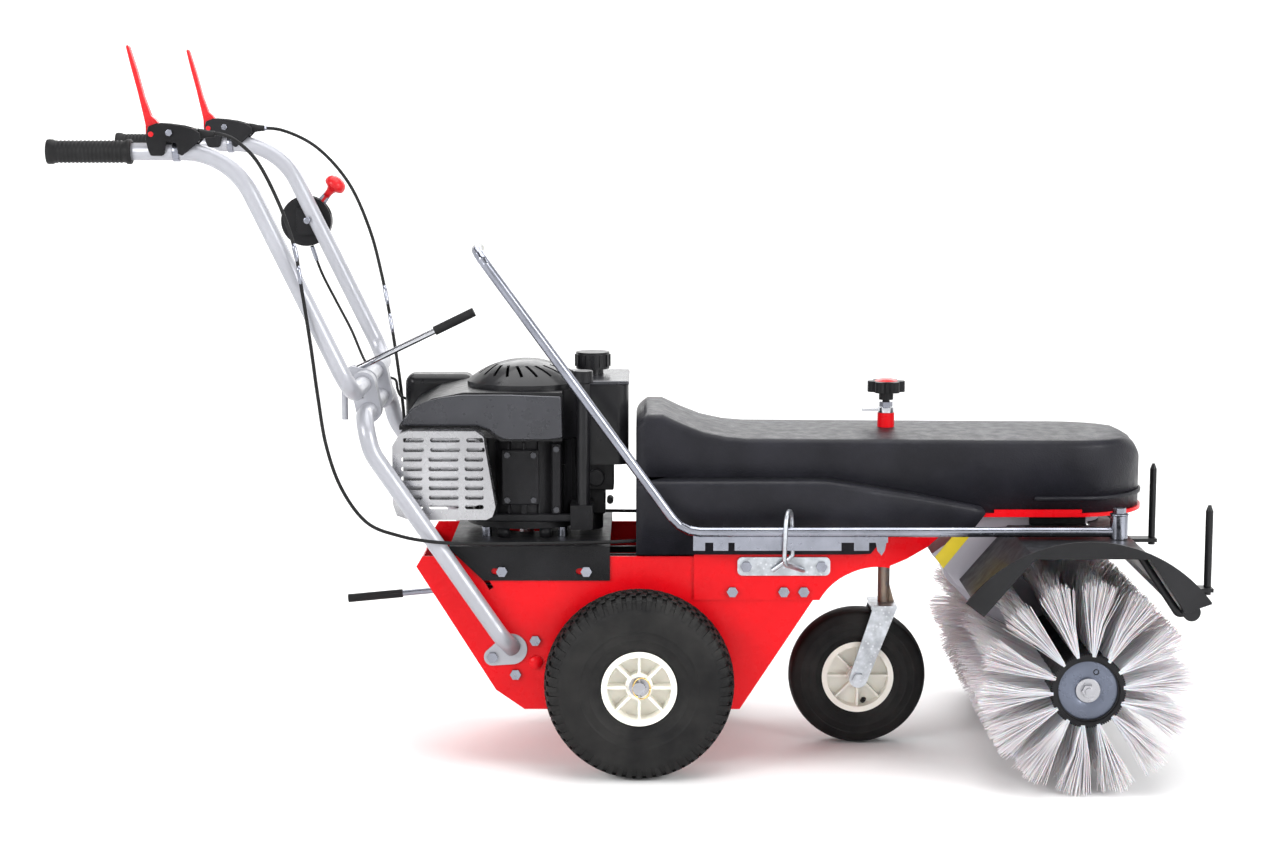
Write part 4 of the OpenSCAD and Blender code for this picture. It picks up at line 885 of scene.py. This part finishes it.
# lip band round the front of the cover
LIP_R = COVER_HALF + 0.5
LIP_BACK = 640
LIP = ((0, 431), (3.4, 432), (3.8, 437), (0, 439))      # (outwards, height)
band = [(LIP_BACK, -LIP_R)]
for k in range(-20, 21):
    a = math.radians(4.5 * k)
    band.append((NOSE_X + LIP_R * math.cos(a), LIP_R * math.sin(a)))
band.append((LIP_BACK, LIP_R))
verts, faces = [], []
for x, y in band:
    d = Vector((max(x - NOSE_X, 0), y)).normalized()
    verts += [((x + d.x * out) * MM, (y + d.y * out) * MM, z * MM) for out, z in LIP]
for i in range(len(band) - 1):
    for q in range(4):
        w = (q + 1) % 4
        faces.append((4 * i + q, 4 * i + w, 4 * i + 4 + w, 4 * i + 4 + q))
faces += [(3, 2, 1, 0), tuple(4 * (len(band) - 1) + q for q in range(4))]
piece("belt_cover_lip", verts, faces, "cover_plastic", "chassis")

# ring round the height knob's opening, and a plug, on top of the cover
RING = [(14.6, 0), (27.5, 0), (27.5, 3.2), (26, 4.4), (17, 4.4), (14.6, 3.6)]
PLUG = [(0.01, 0), (8, 0), (8, 2), (6, 3.6), (0.01, 4.2)]
turn = Matrix.Translation((0.410, 0, COVER_TOP))
piece("belt_cover_ring", *turned(in_metres(RING), turn, 64), "red_plastic", "chassis",
      slot="red_paint")
turn = Matrix.Translation((0.338, -0.050, COVER_TOP + 0.0005))
piece("belt_cover_plug", *turned(in_metres(PLUG), turn, 32, closed=False), "control_plastic",
      "chassis")

# ---------------------------------------------------------------- engine details
CRANK_X = -0.188
PANEL = [(-387, 552), (-380, 566), (-366, 582), (-345, 592), (-318, 599), (-285, 603),
         (-210, 603), (-126, 600), (-124, 532), (-150, 529), (-214, 529), (-228, 533),
         (-243, 545), (-262, 552)]
PANEL_FACE, PANEL_BACK = -0.1185, -0.1115
RIB_COUNT = 9
RIB_ROOT, RIB_TIP = (0.0895, 0.0022), (0.0965, 0.0014)      # radius and half width
RIB_LOW, RIB_HIGH = 0.396, 0.522
BOX_FACES = [(0, 4, 5, 1), (1, 5, 6, 2), (2, 6, 7, 3), (3, 7, 4, 0)]
BOSS_FACE, BOSS_BACK = -0.1045, -0.0985
POST_X, POST_Y = (-0.222, -0.154), (-0.083, 0.083)

soften(piece("engine_side_panel", *side_outline(PANEL, PANEL_FACE, PANEL_BACK), "graphite",
             "chassis", slot="engine_plastic"), 0.0045, 4, 20)
ribs = []
for i in range(RIB_COUNT):
    a = math.radians(-150 + 15 * i)
    out, along = Vector((math.cos(a), math.sin(a), 0)), Vector((-math.sin(a), math.cos(a), 0))
    verts = []
    for z in (RIB_LOW, RIB_HIGH):
        for (r, half), e in ((RIB_ROOT, -1), (RIB_TIP, -1), (RIB_TIP, 1), (RIB_ROOT, 1)):
            verts.append(tuple(Vector((CRANK_X, 0, z)) + out * r + along * e * half))
    ribs.append((verts, [(0, 1, 2, 3), (7, 6, 5, 4)] + BOX_FACES))
piece("crankcase_ribs", *joined(*ribs), "engine_cast", "chassis", smooth=False)
soften(piece("tank_top_lip", *block((-0.1195, -0.0595, 0.6115), (-0.0165, 0.1175, 0.6185)),
             "graphite", "chassis", slot="engine_plastic"), 0.0030, 3)
soften(piece("air_filter_cover", *block((-0.3985, 0.0965, 0.5005), (-0.2815, 0.1515, 0.6115)),
             "engine_plastic", "chassis", replaces=["air_filter"]), 0.017, 6)
soften(piece("carburettor", *joined(
    block((-0.100, -0.050, 0.436), (-0.042, 0.030, 0.482)),
    block((-0.094, -0.036, 0.394), (-0.056, 0.018, 0.436)),
    block((-0.104, 0.034, 0.400), (-0.064, 0.086, 0.480)),
    drum((-0.071, -0.064, 0.458), (-0.071, -0.048, 0.458), 0.014),
    drum((-0.080, -0.008, 0.366), (-0.080, -0.008, 0.396), 0.020),
    drum((-0.048, -0.062, 0.420), (-0.048, -0.030, 0.420), 0.0055)), "engine_cast", "chassis"),
    0.0028, 3)
soften(piece("crankcase_flange", *joined(
    block((-0.268, -0.1015, 0.392), (-0.108, -0.086, 0.404)),
    block((-0.2605, -0.0985, 0.404), (-0.2460, -0.084, 0.520)),
    block((-0.2240, -0.1005, 0.420), (-0.1630, -0.086, 0.510)),
    block((-0.1420, -0.0985, 0.404), (-0.1280, -0.082, 0.520))), "engine_cast", "chassis"),
    0.0026, 3)
bosses = [(-0.2532, 0.4120), (-0.2532, 0.5120), (-0.2150, 0.4280), (-0.1720, 0.4280),
          (-0.2150, 0.5020), (-0.1720, 0.5020), (-0.1350, 0.4120), (-0.1350, 0.5120)]
piece("crankcase_bolts",
      *joined(*[drum((x, BOSS_FACE, z), (x, BOSS_BACK, z), 0.0052, 6) for x, z in bosses]),
      "graphite", "chassis", slot="zinc", smooth=False)
# posts between the engine and the deck
posts = [drum((x, y, 0.3645), (x, y, 0.3795), 0.0098, 24) for x in POST_X for y in POST_Y]
piece("engine_posts", *joined(*posts), "engine_cast", "chassis")

# yellow edge stripe of the gear housing, without any lettering
STRIPE = [(0.4867, 0.3290), (0.5005, 0.3096), (0.5450, 0.3660), (0.5310, 0.3840)]
STRIPE_BACK, STRIPE_FACE = -0.0754, -0.0762
soften(piece("housing_stripe", [(x, y, z) for y in (STRIPE_BACK, STRIPE_FACE) for x, z in STRIPE],
             [(0, 1, 2, 3), (7, 6, 5, 4)] + BOX_FACES, "stripe", "brush_head",
             slot="housing_paint"), 0.0002, 1)

# ---------------------------------------------------------------- CAD nodes that stay
REPLACED = {"upper_handlebar", "lower_handlebar", "clutch_cable_right", "clutch_cable_left",
            "throttle_cable", "hand_grips", "drive_tyre_right", "drive_tyre_left",
            "caster_tyre", "bristles", "belt_cover", "air_filter", "lever_brackets",
            "clutch_lever_right", "clutch_lever_left"}
ROUNDER = {"engine_shroud": 0.006, "fuel_tank": 0.004, "muffler_guard": 0.001,
           "fuel_cap": 0.0015, "height_knob": 0.0015, "throttle_housing": 0.002,
           "hood": 0.0009, "gear_housing": 0.0025, "side_plate_right": 0.0010,
           "side_plate_left": 0.0010, "engine_deck": 0.0012, "drive_rim_right": 0.0009,
           "drive_rim_left": 0.0009, "caster_rim": 0.0009, "oil_filler": 0.002,
           "recoil_cover": 0.0012, "chassis_bolts": 0.0007, "head_fasteners": 0.0007}
PLAIN_BEVEL = 0.0006
for name in frame["nodes"]:
    if name not in REPLACED:
        finish_node(name, ROUNDER.get(name, PLAIN_BEVEL))

KNOB_FOOT, KNOB_CAP = 0.5808, 0.6121    # heights of the height knob's metal foot and red cap
THROTTLE_AXIS = Vector((-0.585, 0.284, 0.862))
COMB_X, COMB_Y = -0.24, -0.1393         # the pale cap on the steering rod
FORK_TOP = 0.2396                       # the stem starts above the fork
PLATE_Y = 0.2965                        # outer face of the throttle housing

zone("height_knob", "zinc", lambda c: c.z < KNOB_FOOT)
zone("height_knob", "red_plastic", lambda c: c.z > KNOB_CAP)
zone("clamp_lever", "rubber", beyond((-0.470, -0.046, 0.634), (196, 0, 95), 0.1485))
zone("shift_rod", "rubber", beyond((-0.200, 0, 0.2714), (-137, 0, -13), 0.1975))
zone("throttle_lever", "zinc", lambda c: (c - THROTTLE_AXIS).length < 0.063)
zone("steering_rod", "rim_plastic", lambda c: c.x < COMB_X and c.y > COMB_Y)
zone("caster_fork", "aged_steel", lambda c: c.z > FORK_TOP)
zone("throttle_housing", "zinc", lambda c: c.y > PLATE_Y)

# ---------------------------------------------------------------- floor and light
SKY = 0.16              # strength of the even white light
FLOOR_GREY = 0.86
BOWL = [(0.01, 0.0), (3.0, 0.0), (7.0, 0.0), (9.0, 0.1), (10.6, 0.8), (11.4, 2.2), (11.6, 9.0)]
BOWL_SIDES = 64

world = bpy.data.worlds.new("studio")
bpy.context.scene.world = world
world.use_nodes = True
background = world.node_tree.nodes["Background"]
background.inputs["Color"].default_value = (1.0, 1.0, 1.0, 1)
background.inputs["Strength"].default_value = SKY

# the floor is plain near the machine and glows softly further out
floor_look = bpy.data.materials.new("floor")
floor_look.use_nodes = True
floor_nodes = floor_look.node_tree.nodes
floor_link = floor_look.node_tree.links.new
surface = floor_nodes["Principled BSDF"]
surface.inputs["Base Color"].default_value = (FLOOR_GREY, FLOOR_GREY, FLOOR_GREY, 1)
surface.inputs["Roughness"].default_value = 0.9
surface.inputs["Emission Color"].default_value = (1, 1, 1, 1)
place = floor_nodes.new("ShaderNodeTexCoord")
reach = floor_nodes.new("ShaderNodeVectorMath")
reach.operation = "LENGTH"
glow = floor_nodes.new("ShaderNodeMapRange")
for label, value in (("From Min", 1.6), ("From Max", 5.5), ("To Min", 0.0), ("To Max", 0.56)):
    glow.inputs[label].default_value = value
floor_link(place.outputs["Object"], reach.inputs[0])
floor_link(reach.outputs["Value"], glow.inputs["Value"])
floor_link(glow.outputs["Result"], surface.inputs["Emission Strength"])

verts, faces = turned(BOWL, Matrix.Identity(4), BOWL_SIDES, closed=False)
middle = tuple(i * len(BOWL) for i in range(BOWL_SIDES))
floor_mesh = bpy.data.meshes.new("floor")
floor_mesh.from_pydata(verts, [], faces + [middle])
for face in floor_mesh.polygons:
    face.use_smooth = True
floor = bpy.data.objects.new("floor", floor_mesh)
bpy.context.scene.collection.objects.link(floor)
floor_mesh.materials.append(floor_look)
rounding = floor.modifiers.new("smooth", "SUBSURF")
rounding.levels = rounding.render_levels = 3


def softbox(name, place, aim, size, power):
    """A soft rectangular light at a place, turned towards the point aim."""
    light = bpy.data.lights.new(name, "AREA")
    light.shape = "RECTANGLE"
    light.size, light.size_y = size
    light.energy = power
    o = bpy.data.objects.new(name, light)
    o.location = place
    o.rotation_euler = (Vector(aim) - Vector(place)).to_track_quat("-Z", "Y").to_euler()
    bpy.context.scene.collection.objects.link(o)


softbox("top", (0.1, 0.1, 3.1), (0, 0, 0.3), (3.6, 2.6), 118)
softbox("front_left", (-2.9, -2.8, 2.1), (0, 0, 0.5), (1.8, 1.8), 104)
softbox("front_right", (2.9, -2.6, 1.7), (0.2, 0, 0.4), (1.8, 1.8), 96)
softbox("back", (0.4, 3.2, 2.6), (0, 0, 0.5), (3.0, 1.6), 60)
bpy.context.scene.view_settings.view_transform = "Standard"
bpy.context.scene.view_settings.look = "None"
